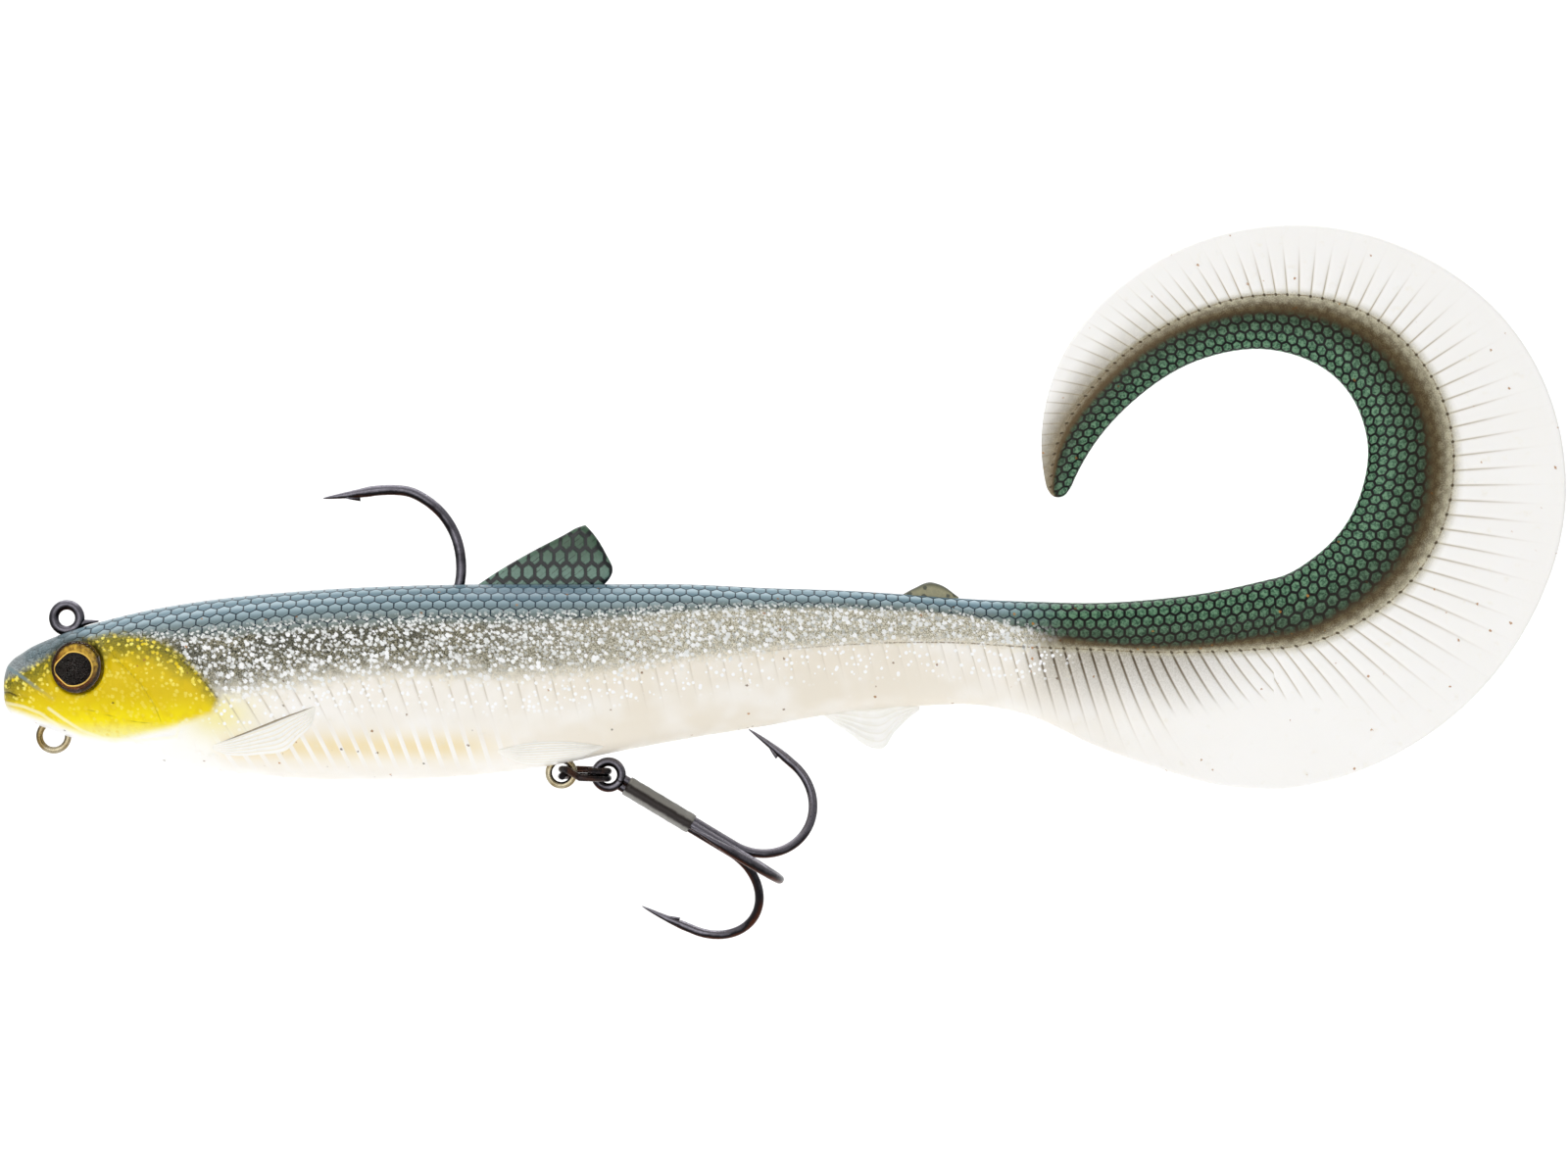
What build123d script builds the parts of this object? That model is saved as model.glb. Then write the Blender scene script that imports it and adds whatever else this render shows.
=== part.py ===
from build123d import *
import os
from math import cos, radians, sin, tan

# A ready-rigged curl-tail swimbait, in millimetres. The origin is the centre of the line-tie eye
# on the head. X runs from the head towards the tail, Z is up, and the fish's left side faces -Y.
# The soft moulding is held as segments that meet at flex lines, since it bends all along.

# Soft body from the snout to the root of the tail: X, back line Z, belly line Z, half width.
BODY_SECTIONS = [
    (-9.6, -7.2, -13.2, 2.6),
    (-8.9, -5.8, -14.4, 3.8),
    (-6.5, -4.6, -15.6, 5.2),
    (-2.0, -3.0, -17.4, 7.0),
    (5.0, -0.7, -19.9, 8.9),
    (12.8, 1.2, -22.0, 10.0),
    (20.5, 2.5, -23.2, 10.7),
    (36.0, 4.1, -24.7, 11.4),
    (54.0, 5.0, -24.8, 11.2),
    (67.0, 5.2, -23.8, 10.5),
    (76.0, 5.2, -22.5, 9.9),
    (83.5, 5.2, -20.9, 9.2),
    (94.5, 5.2, -18.8, 8.1),
    (108.0, 4.6, -16.6, 6.4),
    (120.0, 4.2, -14.5, 4.9),
    (131.0, 3.5, -13.6, 3.8),
    (141.0, 2.8, -13.5, 3.2),
]
SECTION_POWER = 2.3  # superellipse power of a cross section; 2 would be an ellipse
SECTION_POINTS = 12

# Root of the tail: X, back line Z, lateral line Z, belly line Z, half thickness of the ridge.
TAIL_ROOT = [
    (141.0, 2.8, -4.0, -13.5, 3.1),
    (149.0, 2.5, -4.4, -15.3, 2.9),
    (158.0, 2.3, -4.8, -19.5, 2.7),
    (168.0, 2.9, -5.2, -23.1, 2.6),
    (177.0, 4.1, -5.2, -25.7, 2.5),
]
# Curl of the tail in polar form about its middle: angle from +X, then the radius of the inner
# edge, of the lateral line and of the outer edge, and the half thickness of the ridge.
CURL_MIDDLE = (186.0, 20.0)
CURL = [
    (-90, 13.9, 24.7, 46.5, 2.5),
    (-60, 12.3, 24.4, 44.9, 2.5),
    (-30, 12.3, 25.7, 44.4, 2.4),
    (0, 13.6, 27.4, 45.0, 2.4),
    (30, 16.4, 29.4, 44.4, 2.3),
    (60, 19.4, 30.4, 42.3, 2.2),
    (90, 21.2, 29.8, 40.5, 2.1),
    (120, 22.8, 29.9, 39.3, 2.0),
    (150, 25.7, 31.9, 38.3, 1.8),
    (170, 29.2, 34.2, 36.4, 1.5),
    (181, 31.5, 34.5, 34.9, 1.0),
]
WEB_THICKNESS = 1.0
KEEL_DEPTHS = [(141.0, 3.0), (149.0, 2.0), (158.0, 0.9)]  # X, half width of the fading keel
KEEL_INSET = 0.9  # the keel's lower edge ends this far inside the web's

# Flex lines of the soft body: how far each side may bend, in degrees.
FLEX_GAP = 0.3
FLEX_MARGIN = 1.5
TRUNK_FLEX_X, TRUNK_FLEX = 94.5, 12
ROOT_FLEX_X, ROOT_FLEX = 141.0, 20
BEND_FLEX, CROWN_FLEX, TIP_FLEX = 20, 25, 30

# Fins: side outlines (X, Z) and thicknesses.
DORSAL_FIN = [(63.0, 4.0), (63.4, 5.6), (68.9, 9.0), (76.8, 13.0), (79.6, 14.5), (80.4, 13.6),
              (84.1, 8.2), (84.0, 6.9), (82.4, 5.4), (82.4, 4.0)]
ADIPOSE_FIN = [(128.5, 2.6), (128.7, 3.8), (133.3, 5.5), (137.4, 3.3), (137.4, 2.2)]
ANAL_FIN = [(116.4, -13.8), (116.4, -15.3), (124.3, -20.2), (125.6, -20.2), (127.9, -17.4),
            (131.4, -14.7), (131.4, -12.6)]
PECTORAL_FIN = [(22.5, -20.0), (28.0, -17.4), (34.0, -14.9), (39.5, -13.1), (38.4, -15.2),
                (38.7, -16.5), (36.5, -18.2), (35.3, -20.3), (30.0, -20.9), (25.0, -21.2)]
PELVIC_FIN = [(66.5, -20.3), (70.0, -22.3), (75.0, -22.5), (80.0, -21.2), (83.2, -19.6),
              (78.0, -18.9), (71.0, -19.0)]
DORSAL_THICKNESS = 1.6
SMALL_FIN_THICKNESS = 1.2
SIDE_FIN_RELIEF = 0.6  # the paired fins stand this far out of the skin
FIN_REACH = 14.0

# Eyes: a printed foil disc under a clear dome, in a flat-floored socket on each side.
EYE_X, EYE_Z = 2.5, -7.5
EYE_RADIUS = 4.0
EYE_OUT = 7.6  # the socket's floor is this far from the middle plane
EYE_FORWARD, EYE_UP = 14, 6  # the way the eye faces, in degrees off sideways
FOIL_THICKNESS = 0.4
LENS_RIM, LENS_RISE = 0.5, 1.3
SOCKET_CLEARANCE = 0.05

# Single jig hook: round wire with its own eye, which is the line tie.
JIG_WIRE = 1.6
LINE_TIE_RADIUS = 2.0  # wire centre line
LINE_TIE_BORE = 1.25  # the inside of the eye is flattened to this radius
JIG_SHANK_DIP_X, JIG_SHANK_Z = 6.0, -3.3  # the shank is level behind this X
JIG_BEND_X, JIG_BEND_RADIUS = 49.4, 11.5
JIG_POINT_LAND, JIG_POINT_LENGTH = 2.0, 6.5
JIG_POINT_DROP = 8  # degrees that the point dips towards the back
WIRE_END_START, WIRE_END_TIP = (1.7, -0.6), (4.9, -0.5)  # the wire's end behind the line tie
WIRE_END_BLUNT = 0.15

# Cast weight around the jig hook's shank, with a keeper collar behind it.
WEIGHT_MIDDLE = (17.0, -6.2)
WEIGHT_LENGTH, WEIGHT_DEPTH, WEIGHT_WIDTH = 23.0, 9.0, 9.6
COLLAR_RADIUS, COLLAR_END_X = 1.9, 36.0
KEEPER_RADIUS, KEEPER_LENGTH = 2.9, 3.0

# Stainless wire from the chin loop, through the weight, to the belly eye.
HARNESS_WIRE = 1.05
CHIN_LOOP, CHIN_RADIUS = (-2.0, -18.2), 2.2
BELLY_EYE, BELLY_RADIUS = (76.2, -23.85), 1.95
HARNESS_ROUTE = [(-2.0, -16.0), (3.0, -10.5), (14.0, -8.6), (40.0, -9.0), (66.0, -12.0),
                 (76.2, -21.9)]
HARNESS_BENDS = [4.0, 8.0, 20.0, 12.0]

# Split ring: two flat coils and the step between them.
RING_WIRE = 1.05
RING_RADIUS = 3.63
RING_PITCH = 1.07
RING_TILT = 2.5  # degrees that the ring's far side lies below the belly eye
COIL_SWEEP, STEP_SWEEP = 300, 40
RING_START = 280  # angle of the upper coil's end, seen from above

# Treble hook, along its own shank from the eye.
TREBLE_WIRE = 1.4
TREBLE_EYE_RADIUS = 2.0
TREBLE_ANGLE = 31.0  # degrees that the shank points below +X
TREBLE_TURNS = (25, 145, 271)  # degrees of the three points from straight up, away from -Y
SHANK_OFFSET = 0.7  # each shank's wire stands this far off the bundle's middle
TREBLE_BEND_AT, TREBLE_BEND_RADIUS = 22.2, 8.45
POINT_OUTWARD = 8  # degrees that a point leans away from the shank
POINT_LENGTH, POINT_LAND = 7.0, 1.5
THIRD_SHANK_START = 6.0
SLEEVE_START, SLEEVE_END = 3.3, 14.9
SLEEVE_RADIUS, SLEEVE_BORE = 1.65, 1.43

BARB_LENGTH, BARB_RISE, BARB_THICKNESS = 2.4, 0.5, 0.5
TIP_RADIUS = 0.04


def flat(point, y=0.0):
    """An (X, Z) point as a point in space."""
    return Vector(point[0], y, point[1])


# ---------------------------------------------------------------- soft body


def body_section(x, top, bottom, half_width):
    """A superelliptic cross section of the body at X."""
    middle, half_height = (top + bottom) / 2, (top - bottom) / 2
    points = []
    for i in range(SECTION_POINTS):
        angle = radians(360 * i / SECTION_POINTS)
        c, s = cos(angle), sin(angle)
        y = half_width * abs(c) ** (2 / SECTION_POWER) * (1 if c > 0 else -1)
        z = half_height * abs(s) ** (2 / SECTION_POWER) * (1 if s > 0 else -1)
        points.append((x, y, middle + z))
    return Face(Wire([Spline(*points, periodic=True)]))


def body_skin(growth=0.0):
    """The whole body to the tail root, or the same with its skin moved out by growth."""
    faces = [body_section(x, top + growth, bottom - growth, half_width + growth)
             for x, top, bottom, half_width in BODY_SECTIONS]
    return loft(faces)


def curl_point(angle, radius):
    return (CURL_MIDDLE[0] + radius * cos(radians(angle)),
            CURL_MIDDLE[1] + radius * sin(radians(angle)))


def tail_stations():
    """Inner edge, lateral line and outer edge points, with the ridge's half thickness."""
    rows = [((x, top), (x, lateral), (x, bottom), half)
            for x, top, lateral, bottom, half in TAIL_ROOT]
    rows += [(curl_point(a, inner), curl_point(a, lateral), curl_point(a, outer), half)
             for a, inner, lateral, outer, half in CURL]
    return rows


def middle_of(a, b):
    return ((a[0] + b[0]) / 2, (a[1] + b[1]) / 2)


def section_plane(inner, outer):
    """A plane across the tail, its x direction running from the inner to the outer point."""
    across = (flat(outer) - flat(inner)).normalized()
    along = across.cross(Vector(0, 1, 0))
    return Plane(origin=flat(middle_of(inner, outer)), x_dir=across, z_dir=-along)


def tail_ridge():
    faces = []
    for inner, lateral, outer, half in tail_stations():
        reach = (flat(lateral) - flat(inner)).length / 2
        faces.append(section_plane(inner, lateral) * Ellipse(reach, half))
    return loft(faces)


def tail_web():
    """The thin web, from the middle of the ridge to the outer edge."""
    rows = tail_stations()
    outer = [flat(row[2]) for row in rows]
    inner = [flat(middle_of(row[0], row[1])) for row in rows]
    edges = [Spline(*outer), Line(outer[-1], inner[-1]), Spline(*inner[::-1]),
             Line(inner[0], outer[0])]
    return extrude(Face(Wire(edges)), amount=WEB_THICKNESS / 2, dir=(0, 1, 0), both=True)


def tail_keel():
    """The body's lower half fading into the web behind the tail root."""
    faces = []
    for (x, half), (_, top, lateral, bottom, _) in zip(KEEL_DEPTHS, TAIL_ROOT):
        upper, lower = (top + lateral) / 2, bottom + KEEL_INSET
        plane = section_plane((x, upper), (x, lower))
        faces.append(plane * Ellipse((upper - lower) / 2, half))
    return loft(faces)


def flex_cut(start, end, flex):
    """A bow-tie prism along the flex line from start to end, wide enough to bend by flex."""
    line = flat(end) - flat(start)
    reach = 2 * max(row[3] for row in BODY_SECTIONS)
    half = FLEX_GAP / 2
    wide = half + reach * tan(radians(flex / 2 + FLEX_MARGIN))
    outline = [(-wide, reach), (-half, 0), (-wide, -reach), (wide, -reach), (half, 0), (wide, reach)]
    plane = Plane(origin=flat(start), x_dir=Vector(0, 1, 0).cross(line), z_dir=line)
    return extrude(plane * Polygon(*outline, align=None), amount=line.length)


def pieces_near(shape, points):
    """The shape's separate solids, one for each point, by nearness of their centres."""
    solids = list(shape.solids())
    return [min(solids, key=lambda s: (s.center() - flat(point)).length) for point in points]


def soft_segments():
    cuts = [
        flex_cut((TRUNK_FLEX_X, -30), (TRUNK_FLEX_X, 15), TRUNK_FLEX),
        flex_cut((ROOT_FLEX_X, -30), (ROOT_FLEX_X, 15), ROOT_FLEX),
    ]
    for row, flex in ((-90, BEND_FLEX), (0, CROWN_FLEX), (90, TIP_FLEX)):
        inner, outer = next((r[1], r[3]) for r in CURL if r[0] == row)
        cuts.append(flex_cut(curl_point(row, inner - 3), curl_point(row, outer + 3), flex))
    body = body_skin() - cuts[0] - cuts[1]
    tail = tail_ridge() + tail_web() + tail_keel()
    for cut in cuts[1:]:
        tail = tail - cut
    trunk, rear = pieces_near(body, [(45, -10), (115, -6)])
    names = ["tail_root", "tail_bend", "tail_crown", "tail_tip"]
    places = [(165, -10), curl_point(-45, 33), curl_point(45, 33), curl_point(135, 33)]
    segments = dict(zip(names, pieces_near(tail, places)))
    segments["trunk"], segments["rear_trunk"] = trunk, rear
    return segments


# ---------------------------------------------------------------- fins


def fin_blade(outline, thickness):
    """A flat fin on the middle plane."""
    face = Face(Wire.make_polygon([flat(p) for p in outline], close=True))
    return extrude(face, amount=thickness / 2, dir=(0, 1, 0), both=True)


def side_fin(outline, skin, raised, side):
    """A fin moulded on the flank: the part of its outline that lies just over the skin."""
    face = Face(Wire([Spline(*[flat(p) for p in outline], periodic=True)]))
    column = extrude(face, amount=FIN_REACH, dir=(0, side, 0))
    return column & raised - skin


# ---------------------------------------------------------------- eyes


def eye_plane(side):
    """A plane on the socket's floor, its normal pointing out of the head."""
    forward, up = radians(EYE_FORWARD), radians(EYE_UP)
    normal = Vector(-sin(forward), side * cos(forward) * cos(up), sin(up))
    return Plane(origin=(EYE_X, side * EYE_OUT, EYE_Z), x_dir=(0, 0, 1), z_dir=normal)


def eye_socket(side):
    return eye_plane(side) * extrude(Circle(EYE_RADIUS + SOCKET_CLEARANCE), amount=EYE_RADIUS * 2)


def eye_foil(side):
    return eye_plane(side) * extrude(Circle(EYE_RADIUS), amount=FOIL_THICKNESS)


def eye_lens(side):
    """A clear dome with a short straight rim, seated on the foil."""
    dome_radius = (EYE_RADIUS**2 + LENS_RISE**2) / (2 * LENS_RISE)
    crown = FOIL_THICKNESS + LENS_RIM + LENS_RISE
    rim = Pos(0, 0, FOIL_THICKNESS) * extrude(Circle(EYE_RADIUS), amount=LENS_RIM + LENS_RISE)
    return eye_plane(side) * (rim & Pos(0, 0, crown - dome_radius) * Sphere(dome_radius))


# ---------------------------------------------------------------- wires and hooks


def side_plane(middle):
    """The XZ plane about an (X, Z) point, its normal along Y."""
    return Plane(origin=flat(middle), x_dir=(1, 0, 0), z_dir=(0, 1, 0))


def ring(plane, radius, wire):
    """A closed wire ring in a plane, about the plane's origin."""
    return plane * Torus(radius, wire / 2)


def point_and_barb(start, heading, wire, length, inner):
    """A tapered point from start along heading, with its barb raised on the inner side."""
    taper = Plane(origin=start, x_dir=inner, z_dir=heading)
    cone = taper * Pos(0, 0, length / 2) * Cone(wire / 2, TIP_RADIUS, length)
    height = wire / 2
    outline = [(0, BARB_LENGTH), (height + BARB_RISE, 0), (height / 2, BARB_LENGTH / 3)]
    barb = Plane(origin=start, x_dir=inner, z_dir=inner.cross(heading)) * Polygon(*outline, align=None)
    return cone + extrude(barb, amount=BARB_THICKNESS / 2, both=True)


def swept_wire(path, wire):
    section = Plane(origin=path @ 0, z_dir=path % 0) * Circle(wire / 2)
    return sweep(section, path=path)


def jig_hook():
    """The line-tie eye, the shank inside the body, the bend and the point over the back."""
    bend_start = (JIG_BEND_X, JIG_SHANK_Z)
    shank = FilletPolyline(flat((0, -LINE_TIE_RADIUS)), flat((JIG_SHANK_DIP_X, JIG_SHANK_Z)),
                           flat(bend_start), radius=JIG_SHANK_DIP_X)
    side_view = Plane(origin=flat(bend_start, 0) + Vector(0, 0, JIG_BEND_RADIUS),
                      x_dir=(1, 0, 0), z_dir=(0, -1, 0))
    bend = side_view * CenterArc((0, 0), JIG_BEND_RADIUS, -90, 180 + JIG_POINT_DROP)
    heading = bend % 1
    land = Line(bend @ 1, bend @ 1 + heading * JIG_POINT_LAND)
    hook = swept_wire(Wire([*shank.edges(), *bend.edges(), *land.edges()]), JIG_WIRE)
    inner = heading.cross(Vector(0, 1, 0))
    hook += point_and_barb(land @ 1, heading, JIG_WIRE, JIG_POINT_LENGTH, inner)
    hook += ring(side_plane((0, 0)), LINE_TIE_RADIUS, JIG_WIRE)
    wire_end = flat(WIRE_END_TIP) - flat(WIRE_END_START)
    spike = Cone(JIG_WIRE / 2, WIRE_END_BLUNT, wire_end.length)
    hook += Plane(origin=flat(middle_of(WIRE_END_START, WIRE_END_TIP)), z_dir=wire_end) * spike
    return hook - side_plane((0, 0)) * Cylinder(LINE_TIE_BORE, JIG_WIRE * 2)


def cast_weight():
    """An egg-shaped weight on the shank, with a collar and a keeper barb behind it."""
    x, z = WEIGHT_MIDDLE
    egg = Pos(x, 0, z) * scale(Sphere(0.5), by=(WEIGHT_LENGTH, WEIGHT_WIDTH, WEIGHT_DEPTH))
    collar = Plane(origin=(x, 0, JIG_SHANK_Z), z_dir=(1, 0, 0)) * extrude(
        Circle(COLLAR_RADIUS), amount=COLLAR_END_X - x)
    keeper = Plane(origin=(COLLAR_END_X - KEEPER_LENGTH / 2, 0, JIG_SHANK_Z), z_dir=(-1, 0, 0))
    return egg + collar + keeper * Cone(COLLAR_RADIUS, KEEPER_RADIUS, KEEPER_LENGTH)


def wire_harness():
    """One stainless wire: the chin loop, the run inside the body and the belly eye."""
    run = FilletPolyline(*[flat(p) for p in HARNESS_ROUTE], radius=HARNESS_BENDS)
    chin = ring(side_plane(CHIN_LOOP), CHIN_RADIUS, HARNESS_WIRE)
    belly = ring(side_plane(BELLY_EYE), BELLY_RADIUS, HARNESS_WIRE)
    return swept_wire(run, HARNESS_WIRE) + chin + belly


def ring_plane():
    """The split ring's own plane: origin at its middle, x from the belly eye to its far side."""
    tilt = radians(RING_TILT)
    along = Vector(cos(tilt), 0, -sin(tilt))
    return Plane(origin=flat(BELLY_EYE) + along * RING_RADIUS, x_dir=along,
                 z_dir=along.cross(Vector(0, 1, 0)))


def split_ring():
    half = RING_PITCH / 2
    section = Plane(origin=(RING_RADIUS, 0, 0), x_dir=(1, 0, 0), z_dir=(0, 1, 0))
    coil = revolve(section * Circle(RING_WIRE / 2), axis=Axis.Z, revolution_arc=COIL_SWEEP)
    upper = Pos(0, 0, half) * Rot(0, 0, RING_START) * coil
    lower_start = RING_START + COIL_SWEEP + STEP_SWEEP
    lower = Pos(0, 0, -half) * Rot(0, 0, lower_start) * coil
    ends = []
    for angle, z in ((lower_start - STEP_SWEEP, half), (lower_start, -half)):
        ends.append(Vector(RING_RADIUS * cos(radians(angle)), RING_RADIUS * sin(radians(angle)), z))
    step = swept_wire(Line(*ends), RING_WIRE)
    joints = [Pos(*end) * Sphere(RING_WIRE / 2) for end in ends]
    return ring_plane() * (upper + lower + step + joints[0] + joints[1])


def ring_far_side():
    plane = ring_plane()
    return plane.origin + plane.x_dir * RING_RADIUS


def treble_frame(turn):
    """A plane holding one hook: origin at the treble's eye, x down the shank, y to the point."""
    angle = radians(TREBLE_ANGLE)
    shank = Vector(cos(angle), 0, -sin(angle))
    up = Vector(sin(angle), 0, cos(angle))
    out = up * cos(radians(turn)) + Vector(0, 1, 0) * sin(radians(turn))
    return Plane(origin=ring_far_side(), x_dir=shank, z_dir=shank.cross(out))


def treble_arm(turn, start):
    """One hook of the treble in its plane: shank, round bend, point and barb."""
    middle = (TREBLE_BEND_AT, SHANK_OFFSET + TREBLE_BEND_RADIUS)
    bend = CenterArc(middle, TREBLE_BEND_RADIUS, -90, 180 - POINT_OUTWARD)
    shank = Line((start, SHANK_OFFSET), (TREBLE_BEND_AT, SHANK_OFFSET))
    heading = bend % 1
    land = Line(bend @ 1, bend @ 1 + heading * POINT_LAND)
    arm = swept_wire(Wire([*shank.edges(), *bend.edges(), *land.edges()]), TREBLE_WIRE)
    inner = Vector(0, 0, 1).cross(heading)
    arm += point_and_barb(land @ 1, heading, TREBLE_WIRE, POINT_LENGTH, inner)
    return treble_frame(turn) * arm


def treble_hooks():
    """The double hook, bent from one wire with its eye, and the third hook brazed to it.

    The eye's hole faces the way that the third hook points.
    """
    upper, lower, third = TREBLE_TURNS
    frame = treble_frame(third)
    eye_face = Plane(origin=frame.origin, x_dir=frame.x_dir, z_dir=frame.y_dir)
    eye = ring(eye_face, TREBLE_EYE_RADIUS, TREBLE_WIRE)
    shank_start = TREBLE_EYE_RADIUS - TREBLE_WIRE / 4
    double = treble_arm(upper, shank_start) + treble_arm(lower, shank_start) + eye
    return double, treble_arm(third, THIRD_SHANK_START) - double


def treble_sleeve():
    frame = treble_frame(0)
    along = Plane(origin=frame.origin + frame.x_dir * SLEEVE_START, z_dir=frame.x_dir)
    face = Circle(SLEEVE_RADIUS) - Circle(SLEEVE_BORE)
    return along * extrude(face, amount=SLEEVE_END - SLEEVE_START)


# ---------------------------------------------------------------- assembly


def build():
    nodes = soft_segments()
    skin, raised = body_skin(), body_skin(SIDE_FIN_RELIEF)
    nodes["dorsal_fin"] = fin_blade(DORSAL_FIN, DORSAL_THICKNESS) - skin
    nodes["adipose_fin"] = fin_blade(ADIPOSE_FIN, SMALL_FIN_THICKNESS) - skin
    nodes["anal_fin"] = fin_blade(ANAL_FIN, SMALL_FIN_THICKNESS) - skin
    nodes["jig_hook"] = jig_hook()
    nodes["wire_harness"] = wire_harness()
    nodes["cast_weight"] = cast_weight() - nodes["jig_hook"] - nodes["wire_harness"]
    for name, side in (("left", -1), ("right", 1)):
        nodes["pectoral_fin_" + name] = side_fin(PECTORAL_FIN, skin, raised, side)
        nodes["pelvic_fin_" + name] = side_fin(PELVIC_FIN, skin, raised, side)
        nodes["eye_foil_" + name] = eye_foil(side)
        nodes["eye_lens_" + name] = eye_lens(side)
        nodes["trunk"] -= eye_socket(side)
    for inner in ("cast_weight", "jig_hook", "wire_harness"):
        nodes["trunk"] -= nodes[inner]
    nodes["split_ring"] = split_ring()
    nodes["treble_double_hook"], nodes["treble_third_hook"] = treble_hooks()
    nodes["treble_sleeve"] = treble_sleeve()
    return nodes


os.makedirs("parts", exist_ok=True)
for node, shape in build().items():
    export_step(shape, f"parts/{node}.step")
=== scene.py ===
from math import cos, pi, radians, sin, sqrt

import bmesh
import bpy
import numpy as np
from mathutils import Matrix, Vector


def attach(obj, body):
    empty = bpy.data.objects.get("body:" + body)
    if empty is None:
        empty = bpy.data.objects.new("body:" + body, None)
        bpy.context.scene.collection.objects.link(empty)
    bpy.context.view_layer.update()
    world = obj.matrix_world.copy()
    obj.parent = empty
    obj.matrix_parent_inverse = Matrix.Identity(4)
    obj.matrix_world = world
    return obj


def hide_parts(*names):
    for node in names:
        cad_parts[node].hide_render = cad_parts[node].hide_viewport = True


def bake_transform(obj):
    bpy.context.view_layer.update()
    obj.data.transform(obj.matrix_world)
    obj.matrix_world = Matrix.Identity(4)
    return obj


# A ready-rigged curl-tail swimbait. Lengths are in millimetres here and become metres in each
# mesh. X runs from the head to the tail, Z is up, and the fish's left side faces -Y.

MM = 0.001
SIDES = (("left", -1), ("right", 1))

# Soft body, head to tail root: X, back line Z, belly line Z, half width.
BODY = [
    (-9.6, -8.4, -13.2, 2.6), (-8.9, -7.2, -14.4, 3.8), (-6.5, -5.2, -15.6, 5.2),
    (-2.0, -3.0, -17.4, 7.0), (5.0, -0.7, -19.9, 8.9), (12.8, 1.2, -22.0, 10.0),
    (20.5, 2.5, -23.2, 10.7), (36.0, 4.1, -24.7, 11.4), (54.0, 5.0, -24.8, 11.2),
    (67.0, 5.2, -23.8, 10.5), (76.0, 5.2, -22.5, 9.9), (83.5, 5.2, -20.9, 9.2),
    (94.5, 5.2, -18.8, 8.1), (108.0, 4.6, -16.6, 6.4), (120.0, 4.2, -14.5, 4.9),
    (131.0, 3.5, -13.6, 3.8), (141.0, 2.8, -13.5, 3.2), (149.0, 2.5, -15.3, 2.9),
    (158.0, 2.3, -19.5, 2.7), (168.0, 2.9, -23.1, 2.6), (177.0, 4.1, -25.7, 2.5),
    (186.0, 6.1, -26.5, 2.5),
]
LATERAL = [(-9.6, -11.0), (0.0, -12.6), (15.0, -12.6), (24.0, -12.0), (36.0, -10.3), (47.0, -9.0),
           (72.0, -9.0), (86.3, -7.8), (95.4, -6.4), (110.6, -4.8), (127.0, -3.8), (136.9, -3.8),
           (146.7, -4.4), (158.5, -4.9), (167.5, -5.3), (177.0, -5.2), (186.0, -4.7)]
# Curl of the tail about its middle: angle, inner edge, lateral line and outer edge radii, and
# the half thickness of the ridge.
CURL_MIDDLE = (186.0, 20.0)
CURL = [
    (-90, 13.9, 24.7, 46.5, 2.5), (-60, 12.3, 24.4, 44.9, 2.5), (-30, 12.3, 25.7, 44.4, 2.4),
    (0, 13.6, 27.4, 45.0, 2.4), (30, 16.4, 29.4, 44.4, 2.3), (60, 19.4, 30.4, 42.3, 2.2),
    (90, 21.2, 29.8, 40.5, 2.1), (120, 22.8, 29.9, 39.3, 2.0), (150, 25.7, 31.9, 38.3, 1.8),
    (170, 29.2, 34.2, 36.4, 1.5), (181, 31.5, 34.5, 34.9, 1.0),
]
SECTION_POWER = 2.3  # how square a section of the round body is; 2 is an ellipse
WEB_HALF = 0.5  # half thickness of the tail's web
WIDEST = 11.4  # no detail stands out further than this from the middle plane
NOSE = 0.8  # the snout's front is rounded over this length
TAIL_STARTS, TAIL_FULL = 136.0, 160.0  # the body turns into ridge and web between these

IN_CURL = 200.0  # stands for X in the curl, past every step along the body
STEP = 0.22  # spacing of the sections along the body
CURL_STEP = 0.4  # and round the curl, in degrees
TIP_OVER = 1.5  # degrees that the tip runs past the table's last row
TIP_ROUND = 3.6  # degrees over which the tip of the tail is rounded
TIP_POWER = 2.2
AROUND = 76  # points from the back line to the belly line

# Pitch and lean (degrees) of the ribs, and pitch of the scales, by X and then by angle.
RIB_PITCH = [(-9.6, 2.5), (110.0, 2.5), (145.0, 2.1), (186.0, 2.15)]
RIB_PITCH_CURL = [(-90, 2.15), (-45, 2.35), (0, 2.28), (45, 2.0), (90, 1.77), (181, 1.7)]
RIB_SKEW = [(0.0, 30.0), (36.0, 28.0), (55.0, 19.0), (141.0, 16.0), (162.0, 19.0), (174.0, 29.0),
            (186.0, 38.0)]
RIB_SKEW_CURL = [(-90, 38.0), (-60, 26.0), (-30, 15.0), (0, 0.0), (25, -7.0), (50, -4.0),
                 (70, 0.0), (90, 10.0), (110, 16.0), (140, 14.0), (155, 19.0), (181, 22.0)]
SCALE_PITCH = [(-9.6, 2.12), (186.0, 1.7)]
SCALE_PITCH_CURL = [(-90, 1.87), (0, 1.81), (90, 1.69), (150, 1.58), (181, 1.5)]


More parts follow.
